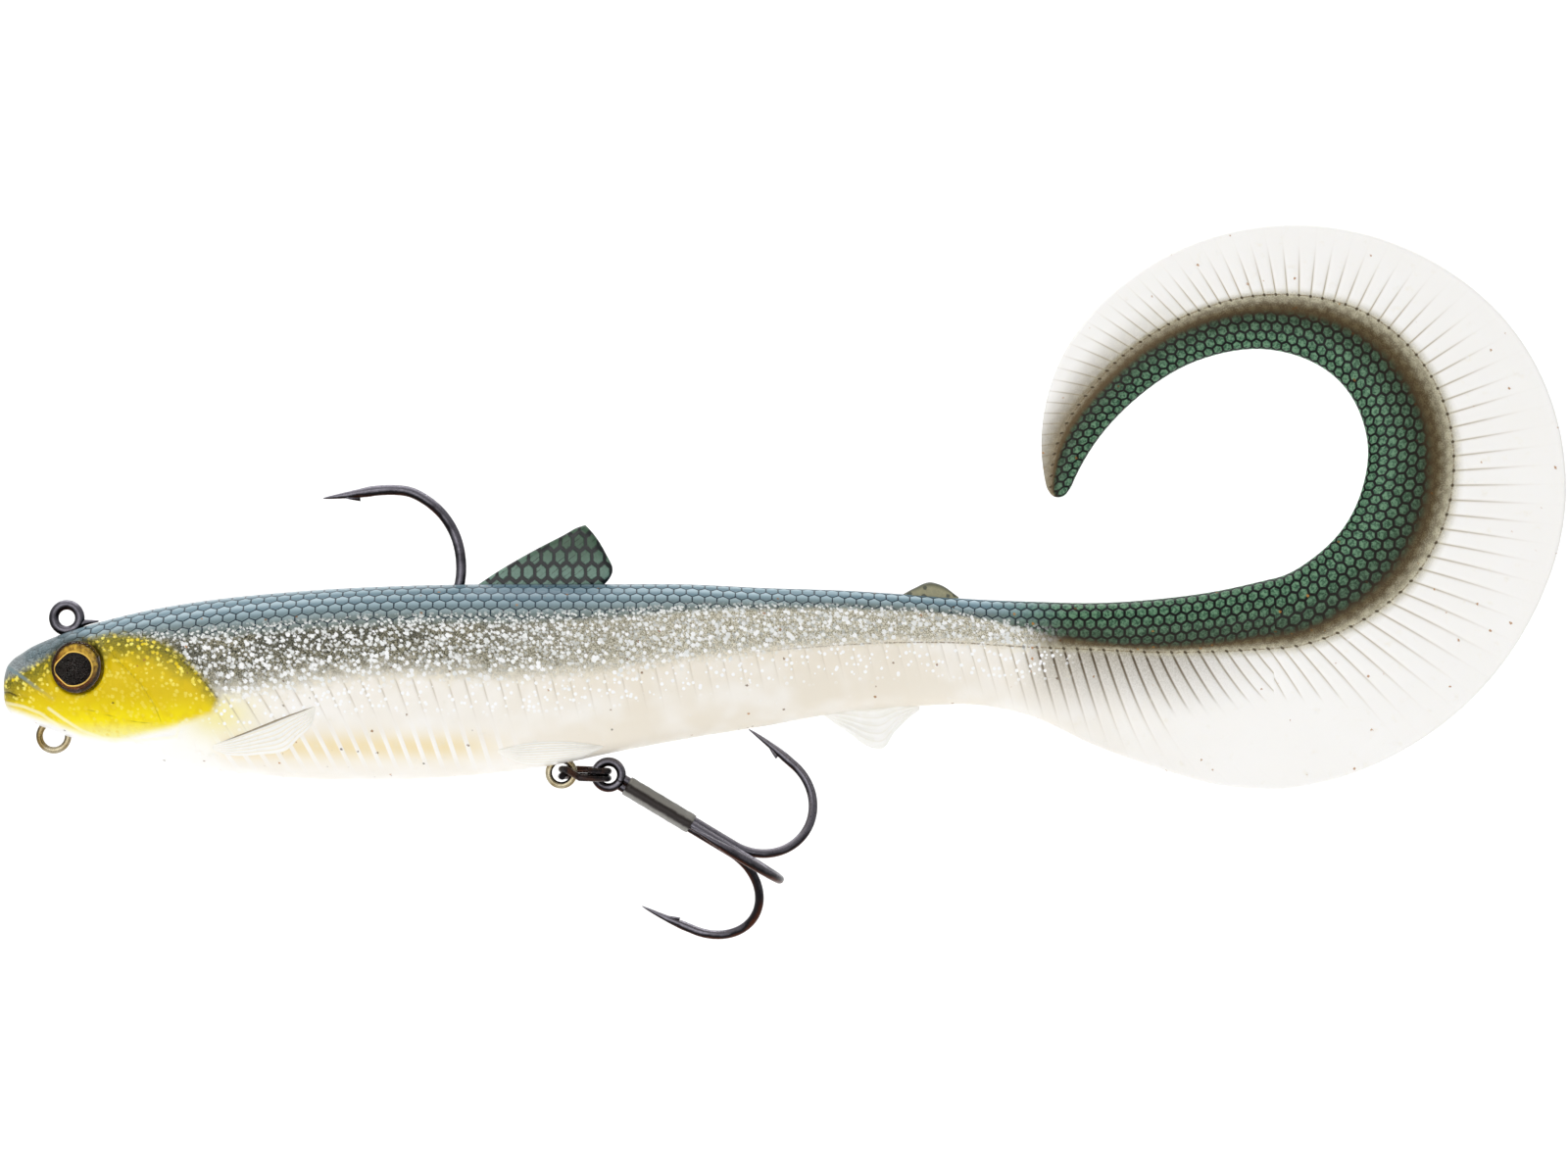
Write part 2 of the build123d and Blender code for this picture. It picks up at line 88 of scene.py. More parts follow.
def curve(table, column, at):
    """Values of a table's column at some places, on a smooth curve through its rows."""
    rows = np.array([(row[0], row[column]) for row in table], float)
    x, y = rows[:, 0], rows[:, 1]
    slope = np.gradient(y, x)
    at = np.clip(np.asarray(at, float), x[0], x[-1])
    i = np.clip(np.searchsorted(x, at) - 1, 0, len(x) - 2)
    h = x[i + 1] - x[i]
    t = (at - x[i]) / h
    a, b = (1 + 2 * t) * (1 - t) ** 2, t * (1 - t) ** 2
    c, d = t * t * (3 - 2 * t), t * t * (t - 1)
    return a * y[i] + b * h * slope[i] + c * y[i + 1] + d * h * slope[i + 1]


def step(low, high, value):
    """A smooth step from 0 at low to 1 at high."""
    t = np.clip((np.asarray(value, float) - low) / (high - low), 0, 1)
    return t * t * (3 - 2 * t)


def bump(value, width):
    """A soft bump of height 1 about 0."""
    return np.exp(-(np.asarray(value) / width) ** 2)


def arc_length(points):
    return np.concatenate([[0], np.cumsum(np.linalg.norm(np.diff(points, axis=0), axis=1))])


def count_along(points, pitch):
    """How many pitches lie before each point of a line."""
    steps = np.linalg.norm(np.diff(points, axis=0), axis=1) / (pitch[1:] + pitch[:-1]) * 2
    return np.concatenate([[0], np.cumsum(steps)])


def path_through(points, count):
    """Evenly spaced points on a smooth curve through some points."""
    points = np.array(points, float)
    s = arc_length(points)
    table = [(a, *p) for a, p in zip(s, points)]
    at = np.linspace(0, s[-1], count)
    return np.stack([curve(table, k + 1, at) for k in range(points.shape[1])], axis=1)


def distance_to_line(x, z, points):
    """Distance from each place to an open line of (X, Z) points."""
    best = np.full(np.shape(x), 1e9)
    for (ax, az), (bx, bz) in zip(points, points[1:]):
        dx, dz = bx - ax, bz - az
        t = np.clip(((x - ax) * dx + (z - az) * dz) / (dx * dx + dz * dz), 0, 1)
        best = np.minimum(best, np.hypot(x - ax - t * dx, z - az - t * dz))
    return best


def inside(x, z, outline):
    """Signed distance from each place to an outline, positive inside it."""
    within = np.zeros(np.shape(x), bool)
    for (ax, az), (bx, bz) in zip(outline, outline[1:] + outline[:1]):
        if az != bz:
            crossing = (az > z) != (bz > z)
            within ^= crossing & (x < (bx - ax) * (z - az) / (bz - az) + ax)
    return np.where(within, 1, -1) * distance_to_line(x, z, outline + outline[:1])


# ---------------------------------------------------------------- meshes


def new_mesh(name, vertices, faces):
    """A mesh object from vertices in millimetres."""
    mesh = bpy.data.meshes.new(name)
    mesh.from_pydata((np.asarray(vertices) * MM).tolist(), [], [list(map(int, f)) for f in faces])
    mesh.validate()
    mesh.shade_smooth()
    obj = bpy.data.objects.new(name, mesh)
    bpy.context.scene.collection.objects.link(obj)
    return obj


def give(obj, **values):
    """Stores a number or a vector for each vertex, for the materials to read."""
    for name, value in values.items():
        value = np.asarray(value, np.float32)
        form = "FLOAT_VECTOR" if value.ndim > 1 else "FLOAT"
        attribute = obj.data.attributes.new(name, form, "POINT")
        attribute.data.foreach_set("vector" if value.ndim > 1 else "value", value.ravel())


def face_outwards(obj, fill=False):
    """Turns all faces outwards, and fills any hole on request."""
    form = bmesh.new()
    form.from_mesh(obj.data)
    if fill:
        bmesh.ops.holes_fill(form, edges=[e for e in form.edges if e.is_boundary])
    bmesh.ops.recalc_face_normals(form, faces=form.faces)
    form.to_mesh(obj.data)
    form.free()


def grid_faces(rows, columns, closed):
    """Quads of a grid of vertices, its columns closed into a loop or not."""
    across = columns if closed else columns - 1
    r, c = np.meshgrid(np.arange(rows - 1), np.arange(across), indexing="ij")
    n = (c + 1) % columns
    quads = np.stack([r * columns + c, r * columns + n, (r + 1) * columns + n,
                      (r + 1) * columns + c], axis=-1)
    return quads.reshape(-1, 4)


def wire_with_painted_light(name, vertices, faces):
    """A wire's mesh, with a tone stored for each vertex as painted light: high where it faces up,
    as if lit from above, and low where it faces down.
    """
    obj = new_mesh(name, vertices, faces)
    face_outwards(obj)
    # painted light: the tone rises where the wire faces up and towards -Y
    tone = [0.5 + 0.5 * (v.normal.z * 0.9 - v.normal.y * 0.35) for v in obj.data.vertices]
    give(obj, rest=vertices, tone=tone)
    return obj


def tube(name, points, radii, segments):
    """A closed round tube along points, with a radius at each."""
    points, radii = np.array(points, float), np.array(radii, float)
    ahead = np.gradient(points, axis=0)
    ahead /= np.linalg.norm(ahead, axis=1)[:, None]
    side = np.cross(ahead[0], (0, 1, 0) if abs(ahead[0][1]) < 0.9 else (1, 0, 0))
    turn = np.linspace(0, 2 * pi, segments, endpoint=False)[:, None]
    rings = []
    for place, forward, radius in zip(points, ahead, radii):
        side = side - forward * (side @ forward)
        side /= np.linalg.norm(side)
        other = np.cross(forward, side)
        rings.append(place + radius * (np.cos(turn) * side + np.sin(turn) * other))
    vertices = np.concatenate(rings + [points[:1], points[-1:]])
    faces = grid_faces(len(points), segments, True)[:, ::-1].tolist()
    first, last = len(vertices) - 2, len(vertices) - 1
    start = (len(points) - 1) * segments
    for k in range(segments):
        n = (k + 1) % segments
        faces += [(first, k, n), (last, start + n, start + k)]
    return wire_with_painted_light(name, vertices, faces)


def join(name, objects):
    """One object from several."""
    bpy.ops.object.select_all(action="DESELECT")
    for obj in objects:
        obj.select_set(True)
    bpy.context.view_layer.objects.active = objects[0]
    bpy.ops.object.join()
    objects[0].name = objects[0].data.name = name
    return objects[0]


def dress(obj, material, body, node):
    """Gives a piece its material and slot, and a body to ride on if one is named, and hides the CAD
    node it stands for.
    """
    obj.data.materials.append(material)
    if body:
        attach(obj, body)
    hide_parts(node)


# ---------------------------------------------------------------- materials


def srgb(code):
    """A linear colour from the six hexadecimal digits of a screen colour."""
    levels = [int(code[k:k + 2], 16) / 255 for k in (0, 2, 4)]
    return (*(((v + 0.055) / 1.055) ** 2.4 if v > 0.04 else v / 12.92 for v in levels), 1.0)


def operator(operation):
    """Methods of Value that join two values with a maths node, in both orders."""
    return (lambda value, other: value.material.math(operation, value, other),
            lambda value, other: value.material.math(operation, other, value))


class Value:
    """What a node gives. Sums written with it add maths nodes to its material."""

    def __init__(self, material, socket):
        self.material, self.socket = material, socket

    __add__, __radd__ = operator("ADD")
    __sub__, __rsub__ = operator("SUBTRACT")
    __mul__, __rmul__ = operator("MULTIPLY")
    __truediv__, __rtruediv__ = operator("DIVIDE")

    def __abs__(self):
        return self.material.math("ABSOLUTE", self)

    def also(self, output):
        """Another output of the same node."""
        return Value(self.material, self.socket.node.outputs[output])


class Material:
    """A material with short calls for its nodes. A colour is a value or hexadecimal digits."""

    def __init__(self, name, **values):
        self.made = bpy.data.materials.new(name)
        self.made.use_nodes = True
        self.tree = self.made.node_tree
        self.shader = self.tree.nodes["Principled BSDF"]
        self.fields = {}
        for key, value in values.items():
            self.set(key.replace("_", " "), value)

    def put(self, socket, value):
        if isinstance(value, Value):
            self.tree.links.new(value.socket, socket)
        else:
            socket.default_value = srgb(value) if isinstance(value, str) else value

    def set(self, key, value):
        self.put(self.shader.inputs[key], value)

    def node(self, kind, inputs=(), output=0, **settings):
        """A new node with its settings and inputs."""
        node = self.tree.nodes.new("ShaderNode" + kind)
        for key, value in settings.items():
            setattr(node, key, value)
        for key, value in dict(inputs).items():
            self.put(node.inputs[key], value)
        return Value(self, node.outputs[output])

    def __getitem__(self, name):
        """A number stored on the mesh."""
        if name not in self.fields:
            self.fields[name] = self.node("Attribute", output="Fac", attribute_name=name)
        return self.fields[name]

    def place(self, name="rest"):
        """A vector stored on the mesh, in millimetres."""
        return self.node("Attribute", output="Vector", attribute_name=name)

    def math(self, operation, *values):
        return self.node("Math", enumerate(values), operation=operation)

    def saw(self, value):
        """From -0.5 to 0.5 in each whole step of the value."""
        return self.math("FRACT", value) - 0.5

    def hypot(self, x, y):
        return self.math("SQRT", x * x + y * y)

    def ramp(self, value, low, high, start=0.0, end=1.0):
        """value carried smoothly from low..high to start..end."""
        inputs = {"Value": value, "From Min": low, "From Max": high, "To Min": start, "To Max": end}
        return self.node("MapRange", inputs, interpolation_type="SMOOTHSTEP")

    def fade(self, value, low, high, start=1.0):
        return self.ramp(value, low, high, start, 0.0)

    def mix(self, factor, a, b):
        return self.node("Mix", {0: factor, 6: a, 7: b}, 2, data_type="RGBA")

    def layers(self, colour, *coats):
        """A colour under coats, each a factor and a colour."""
        for factor, coat in coats:
            colour = self.mix(factor, colour, coat)
        return colour

    def noise(self, vector, scale, detail=2.0, roughness=0.5):
        inputs = {"Vector": vector, "Scale": scale, "Detail": detail, "Roughness": roughness}
        return self.node("TexNoise", inputs, "Fac")

    def cells(self, vector, scale):
        """Distance from the middle of an irregular cell."""
        return self.node("TexVoronoi", {"Vector": vector, "Scale": scale}, "Distance")

    def flecks(self, vector, scale, share, low, high):
        """Round flecks in a share of the cells: their mask, and random numbers for each."""
        cell = self.cells(vector, scale)
        tone = self.parts(cell.also("Color"))
        return self.fade(cell, low, high) * self.math("LESS_THAN", tone[0], share), tone

    def parts(self, vector):
        x = self.node("SeparateXYZ", {0: vector})
        return x, x.also(1), x.also(2)

    def finish(self, colour, height=None, strength=0.5, distance=0.00012):
        """Sets the colour and the bump, whose distance is in metres."""
        self.set("Base Color", colour)
        if height:
            inputs = {"Height": height, "Strength": strength, "Distance": distance}
            self.set("Normal", self.node("Bump", inputs))
        return self.made

    def hexagons(self, along, across, pitch):
        """Distance from the middle of a hexagonal cell (0.5 at its edge), and height in it."""
        root = sqrt(3)
        x, y = along / pitch, across / (pitch * root)
        places = []
        for shift in (0.0, 0.5):
            px, py = self.saw(x + shift), self.saw(y + shift) * root
            places.append((px, py, px * px + py * py))
        (ax, ay, afar), (bx, by, bfar) = places
        nearer = self.math("LESS_THAN", afar, bfar)
        px, py = bx + nearer * (ax - bx), by + nearer * (ay - by)
        flat = abs(px)
        return self.math("MAXIMUM", flat, flat * 0.5 + abs(py) * (root / 2)), py


# ---------------------------------------------------------------- soft body


HEAD_YELLOW = [(-9.9, -8.2), (-5.0, -5.8), (0.0, -2.6), (7.0, -1.0), (13.0, -1.4), (18.6, -5.4),
               (22.6, -9.4), (24.6, -12.4), (23.4, -14.6), (16.6, -16.8), (8.2, -18.7),
               (3.0, -17.9), (-0.7, -16.4), (-8.0, -14.0), (-9.7, -13.2)]
GILL_COVER = [(13.0, -3.4), (18.6, -6.2), (22.4, -9.8), (24.3, -12.2), (23.6, -14.3),
              (19.8, -15.9), (14.0, -17.4), (7.0, -18.2), (2.0, -17.2), (4.0, -12.0), (7.0, -6.0)]
CHEEK_LINE = [(6.9, -4.4), (9.0, -6.6), (12.4, -9.9), (14.6, -13.2), (15.6, -16.0)]
CHEEK_LOWER = [(15.6, -16.0), (12.0, -15.9), (8.0, -15.0), (4.0, -13.9)]
LIP_STRIPE = [(-9.0, -7.4), (-6.2, -9.0), (-3.6, -10.8), (-1.2, -12.4)]
MOUTH_LINE = [(-9.7, -11.5), (-8.4, -11.4), (-7.2, -11.9), (-4.6, -12.3)]
JAW_RIDGE = [(-9.0, -13.0), (-6.0, -13.6), (-3.4, -14.6), (-0.8, -16.4)]
JAW_RIDGE_LOWER = [(-2.0, -13.8), (0.2, -15.4), (3.0, -17.2), (6.4, -18.5), (12.0, -18.7),
                   (17.8, -18.1)]
GILL_FOLD = [(17.8, -18.1), (18.4, -16.4), (19.6, -15.4)]
EYE = (2.5, -7.5)
EYE_RADIUS = 4.0


def stations():
    """The sections along the fish: back, lateral and belly points, widths and lean of the ribs."""
    x = np.arange(BODY[0][0] + NOSE, CURL_MIDDLE[0], STEP)
    round_off = np.sin(np.linspace(0, pi / 2, 9))[:0:-1]
    x = np.concatenate([BODY[0][0] + NOSE * (1 - round_off), x])
    squash = (1 - np.clip((BODY[0][0] + NOSE - x) / NOSE, 0, 1) ** 3) ** (1 / 3)
    top, bottom = curve(BODY, 1, x), curve(BODY, 2, x)
    middle = (top + bottom) / 2
    top, bottom = middle + (top - middle) * squash, middle + (bottom - middle) * squash
    lateral = np.clip(curve(LATERAL, 1, x), bottom, top)
    last = CURL[-1][0] + TIP_OVER
    angle = np.arange(CURL[0][0], last - TIP_ROUND, CURL_STEP)
    angle = np.append(angle, last - TIP_ROUND * (1 - np.sin(np.linspace(0, pi / 2, 12))))
    c, s = np.cos(np.radians(angle)), np.sin(np.radians(angle))
    close = 1 - np.clip((angle - last + TIP_ROUND) / TIP_ROUND, 0, 1) ** TIP_POWER
    close = np.clip(close, 0, 1) ** (1 / TIP_POWER)

    def around(column):
        radius = curve(CURL, column, angle)
        centre = (curve(CURL, 1, angle) + curve(CURL, 3, angle)) / 2
        radius = centre + (radius - centre) * close
        return np.stack([CURL_MIDDLE[0] + radius * c, CURL_MIDDLE[1] + radius * s], axis=1)

    pairs = {
        "top": (np.stack([x, top], 1), around(1)),
        "lateral": (np.stack([x, lateral], 1), around(2)),
        "bottom": (np.stack([x, bottom], 1), around(3)),
        "width": (curve(BODY, 3, x) * squash, curve(CURL, 4, angle) * close),
        "skew": (curve(RIB_SKEW, 1, x), curve(RIB_SKEW_CURL, 1, angle)),
        "rib_pitch": (curve(RIB_PITCH, 1, x), curve(RIB_PITCH_CURL, 1, angle)),
        "cell_pitch": (curve(SCALE_PITCH, 1, x), curve(SCALE_PITCH_CURL, 1, angle)),
        "x": (x, np.full(len(angle), CURL_MIDDLE[0])),
        "angle": (np.full(len(x), CURL[0][0]), angle),
        "curl": (np.zeros(len(x), bool), np.ones(len(angle), bool)),
    }
    return {key: np.concatenate(pair) for key, pair in pairs.items()}


def body_grid():
    """Half thickness and painting values on a grid of sections by points from back to belly."""
    s = stations()
    curl, width = s["curl"][:, None], s["width"][:, None]
    at = np.where(curl, IN_CURL, s["x"][:, None])
    v = (1 - np.cos(np.linspace(0, pi, AROUND + 1)))[None, :] / 2
    span = s["bottom"] - s["top"]
    length = np.linalg.norm(span, axis=1)[:, None]
    side = s["top"][:, None, :] + v[..., None] * span[:, None, :]
    lateral = np.linalg.norm(s["lateral"] - s["top"], axis=1)[:, None] / np.maximum(length, 1e-9)
    lateral = lateral.clip(0.02, 0.98)
    lateral[[0, -1]] = lateral[[1, -2]]  # both end sections are single points
    depth, below, band = v * length, (v - lateral) * length, v / lateral

    power = SECTION_POWER
    round_body = width * (1 - np.abs(2 * v - 1) ** power).clip(0) ** (1 / power)
    ridge = width * (1 - (2 * band - 1) ** 2).clip(0) ** np.where(band > 0.5, 0.85, 0.5)
    edge = np.sqrt((1 - (1 - (length - depth) / WEB_HALF).clip(0) ** 2).clip(0))
    start = np.sqrt((1 - (1 - depth / 1.2).clip(0) ** 2).clip(0))
    web = (WEB_HALF - 0.12 * step(4, 16, below)) * edge * start
    tail = (ridge ** 3 + web ** 3) ** (1 / 3)
    blend = step(TAIL_STARTS, TAIL_FULL, at)
    keel = width * np.sqrt((1 - (2 * v - 1) ** 2).clip(0)) * (1 - step(149, 164, at))
    tail = np.maximum(tail, keel * 0.75)
    half = round_body * (1 - blend) + tail * blend

    # Lengths along the scaled band and round the section, for the scales.
    mid = s["top"] + (s["lateral"] - s["top"]) * 0.4
    along = count_along(mid, s["cell_pitch"])[:, None]
    section = np.stack([depth, half], axis=-1)
    steps = np.linalg.norm(np.diff(section, axis=1), axis=2)
    girth = np.concatenate([0 * length, np.cumsum(steps, axis=1)], axis=1)
    girth = 0.6 * (girth + depth) * (1 - blend) + girth * blend
    girth = girth / s["cell_pitch"][:, None]

    # Ribs lean back from the lateral line.
    radius = np.linalg.norm(s["lateral"] - np.array(CURL_MIDDLE), axis=1)[:, None]
    shrink = np.where(curl, radius / (radius + below), 1)
    lean = np.tan(np.radians(s["skew"]))[:, None]
    rib = count_along(s["lateral"], s["rib_pitch"])[:, None]
    rib = rib - below * lean * shrink / s["rib_pitch"][:, None]
    return dict(s=s, x=side[..., 0], z=side[..., 1], at=at, half=half, below=below, band=band,
                along=along, girth=girth, rib=rib, blend=blend)


def fade_table(g, table, curl_table):
    """A value along the fish, from a table by X and one by the curl's angle."""
    s = g["s"]
    return np.where(s["curl"], curve(curl_table, 1, s["angle"]), curve(table, 1, s["x"]))[:, None]


YELLOW_TOP = [(-9.6, -8.4), (-5.0, -6.2), (0.0, -3.4), (5.0, -1.6), (10.0, -1.2), (14.0, -1.8),
              (18.0, -3.2), (22.0, -6.2), (25.0, -9.6)]
PLAIN_PATCH = [(169.5, -14.0), (176.0, -12.6), (187.0, -12.0), (196.0, -12.2), (200.5, -15.2),
               (203.5, -20.0), (197.0, -22.6), (186.0, -23.6), (176.0, -22.6), (170.0, -18.5)]


def paint(g):
    """Fields that say where each colour and detail of the moulding lies, and where painted shade
    and shadow lie.
    """
    s, x, z, at, band, below = g["s"], g["x"], g["z"], g["at"], g["band"], g["below"]
    angle = s["angle"][:, None]
    limit = fade_table(g, [(-9.6, 0.35), (-4, 0.35), (5, 0.27), (20, 0.36), (47, 0.42), (80, 0.39),
                           (120, 0.34), (141, 0.44), (150, 0.66), (160, 0.82), (186, 0.78)],
                       [(-90, 0.78), (-45, 0.72), (0, 0.68), (90, 0.64), (150, 0.74), (181, 0.85)])
    soft = 0.13 + 0.09 * g["blend"]
    to_line = ((band - limit) / (1 - limit)).clip(-1, 3)
    tip = step(100, 165, angle)
    yellow = step(-0.7, 0.7, inside(x, z, HEAD_YELLOW))
    label = step(-1.2, 1.2, inside(x, z, PLAIN_PATCH))
    ribs = step(-0.3, 0.4, below) * step(22, 27, at)
    length = fade_table(g, [(-9.6, 8), (60, 8), (90, 8), (141, 9), (160, 16), (186, 16)],
                        [(-90, 16), (-30, 18), (0, 15), (60, 10), (90, 9), (150, 8), (181, 4)])
    reach = 1 - step(0.15, 1.0, below / length) * 0.9
    rib_ink_and_shade = fade_table(g, [(-9.6, 0.5), (60, 0.5), (80, 0.34), (110, 0.26), (135, 0.24), (150, 0.95),
                         (186, 0.85)], [(-90, 0.85), (0, 0.75), (60, 0.9), (181, 0.95)])
    edge_of_cover = distance_to_line(x, z, GILL_COVER[:4])
    near_eye = np.hypot(x - EYE[0], z - EYE[1])
    return dict(
        scales=step(-soft, soft, limit - band) * step(-9.0, -3.0, at),
        lower=step(0.25, 1.0, band / limit),
        green=step(140, 156, at),
        to_line=to_line,
        yellow=yellow,
        ripe=step(0.0, 9.0, curve(YELLOW_TOP, 1, x) - z),
        glitter=step(-0.25, 0.0, band - limit) * (1 - step(0.80, 1.22, band)) * step(7, 13, at)
        * (1 - step(147, 159, at)),
        dots=(1 - step(2.0, 7.5, below)) * step(0.85, 1.0, band) * step(18, 28, at)
        * (1 - step(146, 160, at)),
        root=step(145, 152, at) * (1 - step(166, 188, at)) * (1 - step(-1.0, 11.0, below))
        * step(0.7, 1.0, band),
        clear=step(48, 100, at),
        haze=np.clip(step(146, 154, at) * (1 - step(0.97, 1.13, band))
                     + tip * (1 - step(0.0, 5.0, below)), 0, 1),
        beige=(0.6 * step(14, 34, at) + 0.4 * step(55, 90, at)) * (1 - step(120, 186, at) * 0.9),
        ochre=bump(z + 19.6, 2.0) * step(22, 28, x) * (1 - step(58, 72, x)),
        ribs=ribs * reach * (1 - label),
        # thin brown rib lines, and painted shade along their grooves
        rib_ink_and_shade=ribs * (1 - label) * rib_ink_and_shade * (1 - step(0.0, 1.0, below / length) * 0.95) ** 1.4,
        slate=step(4.0, -2.0, x) * step(0.0, 2.0, z - curve(YELLOW_TOP, 1, x) + 3.0),
        # painted shade on the back under the dorsal fin
        painted_shade_under_fin=bump(x - 72, 12) * (1 - step(0.0, 0.34, band)),
        sallow=bump(x - 24.0, 5.0) * bump(z + 14.5, 3.6) * (1 - yellow),
        # painted shadow of the brow on the upper rim of the eye socket
        brow_shadow=step(5.6, 4.2, near_eye) * step(-1.5, 2.5, z - EYE[1]),
        tip=tip,
        dark_lines=np.minimum(edge_of_cover, distance_to_line(x, z, MOUTH_LINE[:3])).clip(0, 3),
        fine_lines=np.minimum(distance_to_line(x, z, CHEEK_LINE),
                              distance_to_line(x, z, CHEEK_LOWER)).clip(0, 3),
        pale_lines=np.minimum.reduce([distance_to_line(x, z, line) for line in
                                      (JAW_RIDGE, JAW_RIDGE_LOWER, GILL_FOLD)]).clip(0, 3),
        lip=distance_to_line(x, z, LIP_STRIPE).clip(0, 3),
    )


def relief(g, p):
    """How far the moulded detail stands out of the plain form."""
    x, z, at = g["x"], g["z"], g["at"]
    off_rib = np.abs(g["rib"] - np.round(g["rib"])) * g["s"]["rib_pitch"][:, None]
    deep = 0.12 - 0.05 * step(40, 60, at) + 0.05 * step(140, 155, at)
    out = -deep * bump(off_rib, 0.3) * p["ribs"]
    out += 0.14 * bump(off_rib, 0.34) * p["ochre"]
    out += 0.38 * step(-0.35, 0.35, inside(x, z, GILL_COVER)) * step(9, 14, x)
    out -= 0.22 * bump(distance_to_line(x, z, CHEEK_LINE), 0.3)
    out -= 0.12 * bump(distance_to_line(x, z, CHEEK_LOWER), 0.4)
    out -= 0.45 * bump(distance_to_line(x, z, MOUTH_LINE), 0.3) * step(-3.5, -7.0, x)
    out += 0.2 * bump(p["pale_lines"], 0.45)
    out += 0.25 * step(0.7, 0.3, p["lip"])
    out -= 0.06 * bump(g["below"], 0.25) * step(55, 75, at)
    return out + 0.04 * p["scales"]


def eye_seat(x, y, z):
    """The head's skin pulled into a round socket with a raised rim."""
    out = np.hypot(x - EYE[0], z - EYE[1])
    rim = 0.35 * bump(out - 4.75, 0.5)
    floor = np.minimum(y, 7.1)
    sunk = step(4.35, 3.95, out)
    return (y + rim) * (1 - sunk) + floor * sunk


def skin():
    """The sections of the soft body, its vertices and normals, and what is painted on it."""
    g = body_grid()
    p = paint(g)
    half = g["half"] + relief(g, p) * step(0.0, 0.6, g["half"])
    head = (g["x"] > -3) & (g["x"] < 9)
    half = np.minimum(np.where(head, eye_seat(g["x"], half, g["z"]), half), WIDEST)
    half[:, [0, -1]] = 0

    def both_sides(left, right):
        return np.concatenate([left, right[:, -2:0:-1]], axis=1)

    vertices = np.stack([both_sides(g["x"], g["x"]), both_sides(-half, half),
                         both_sides(g["z"], g["z"])], axis=-1)
    ahead = np.gradient(vertices, axis=0)
    across = (np.roll(vertices, -1, axis=1) - np.roll(vertices, 1, axis=1)) / 2
    normals = np.cross(across, ahead)
    normals /= np.maximum(np.linalg.norm(normals, axis=2), 1e-9)[..., None]
    del p["ribs"]  # only the relief needs it
    for key in ("along", "girth", "rib", "below", "band"):
        p[key] = g[key]
    full = {key: value * np.ones_like(half) for key, value in p.items()}
    return g["s"], vertices, normals, {key: both_sides(a, a) for key, a in full.items()}


def skin_half(x, z):
    """Half width of the plain body at places in its side view."""
    top, bottom = curve(BODY, 1, x), curve(BODY, 2, x)
    v = ((top - z) / (top - bottom)).clip(0, 1)
    return curve(BODY, 3, x) * (1 - np.abs(2 * v - 1) ** SECTION_POWER) ** (1 / SECTION_POWER)


def slice_of_skin(name, vertices, normals, fields, first, last):
    """One stretch of the soft body, from section first to section last."""
    loop = vertices.shape[1]
    points, facing = (a[first:last + 1].reshape(-1, 3) for a in (vertices, normals))
    faces = grid_faces(last - first + 1, loop, True).tolist()
    fields = {key: value[first:last + 1].ravel() for key, value in fields.items()}
    if first == 0:  # a fan closes the tip of the snout
        faces += [(len(points), (k + 1) % loop, k) for k in range(loop)]
        points = np.vstack([points, points[:loop].mean(axis=0)])
        facing = np.vstack([facing, (-1, 0, 0)])
        fields = {key: np.append(value, value[0]) for key, value in fields.items()}
    obj = new_mesh(name, points, faces)
    obj.data.normals_split_custom_set_from_vertices(facing.tolist())
    give(obj, rest=points, **fields)
    return obj


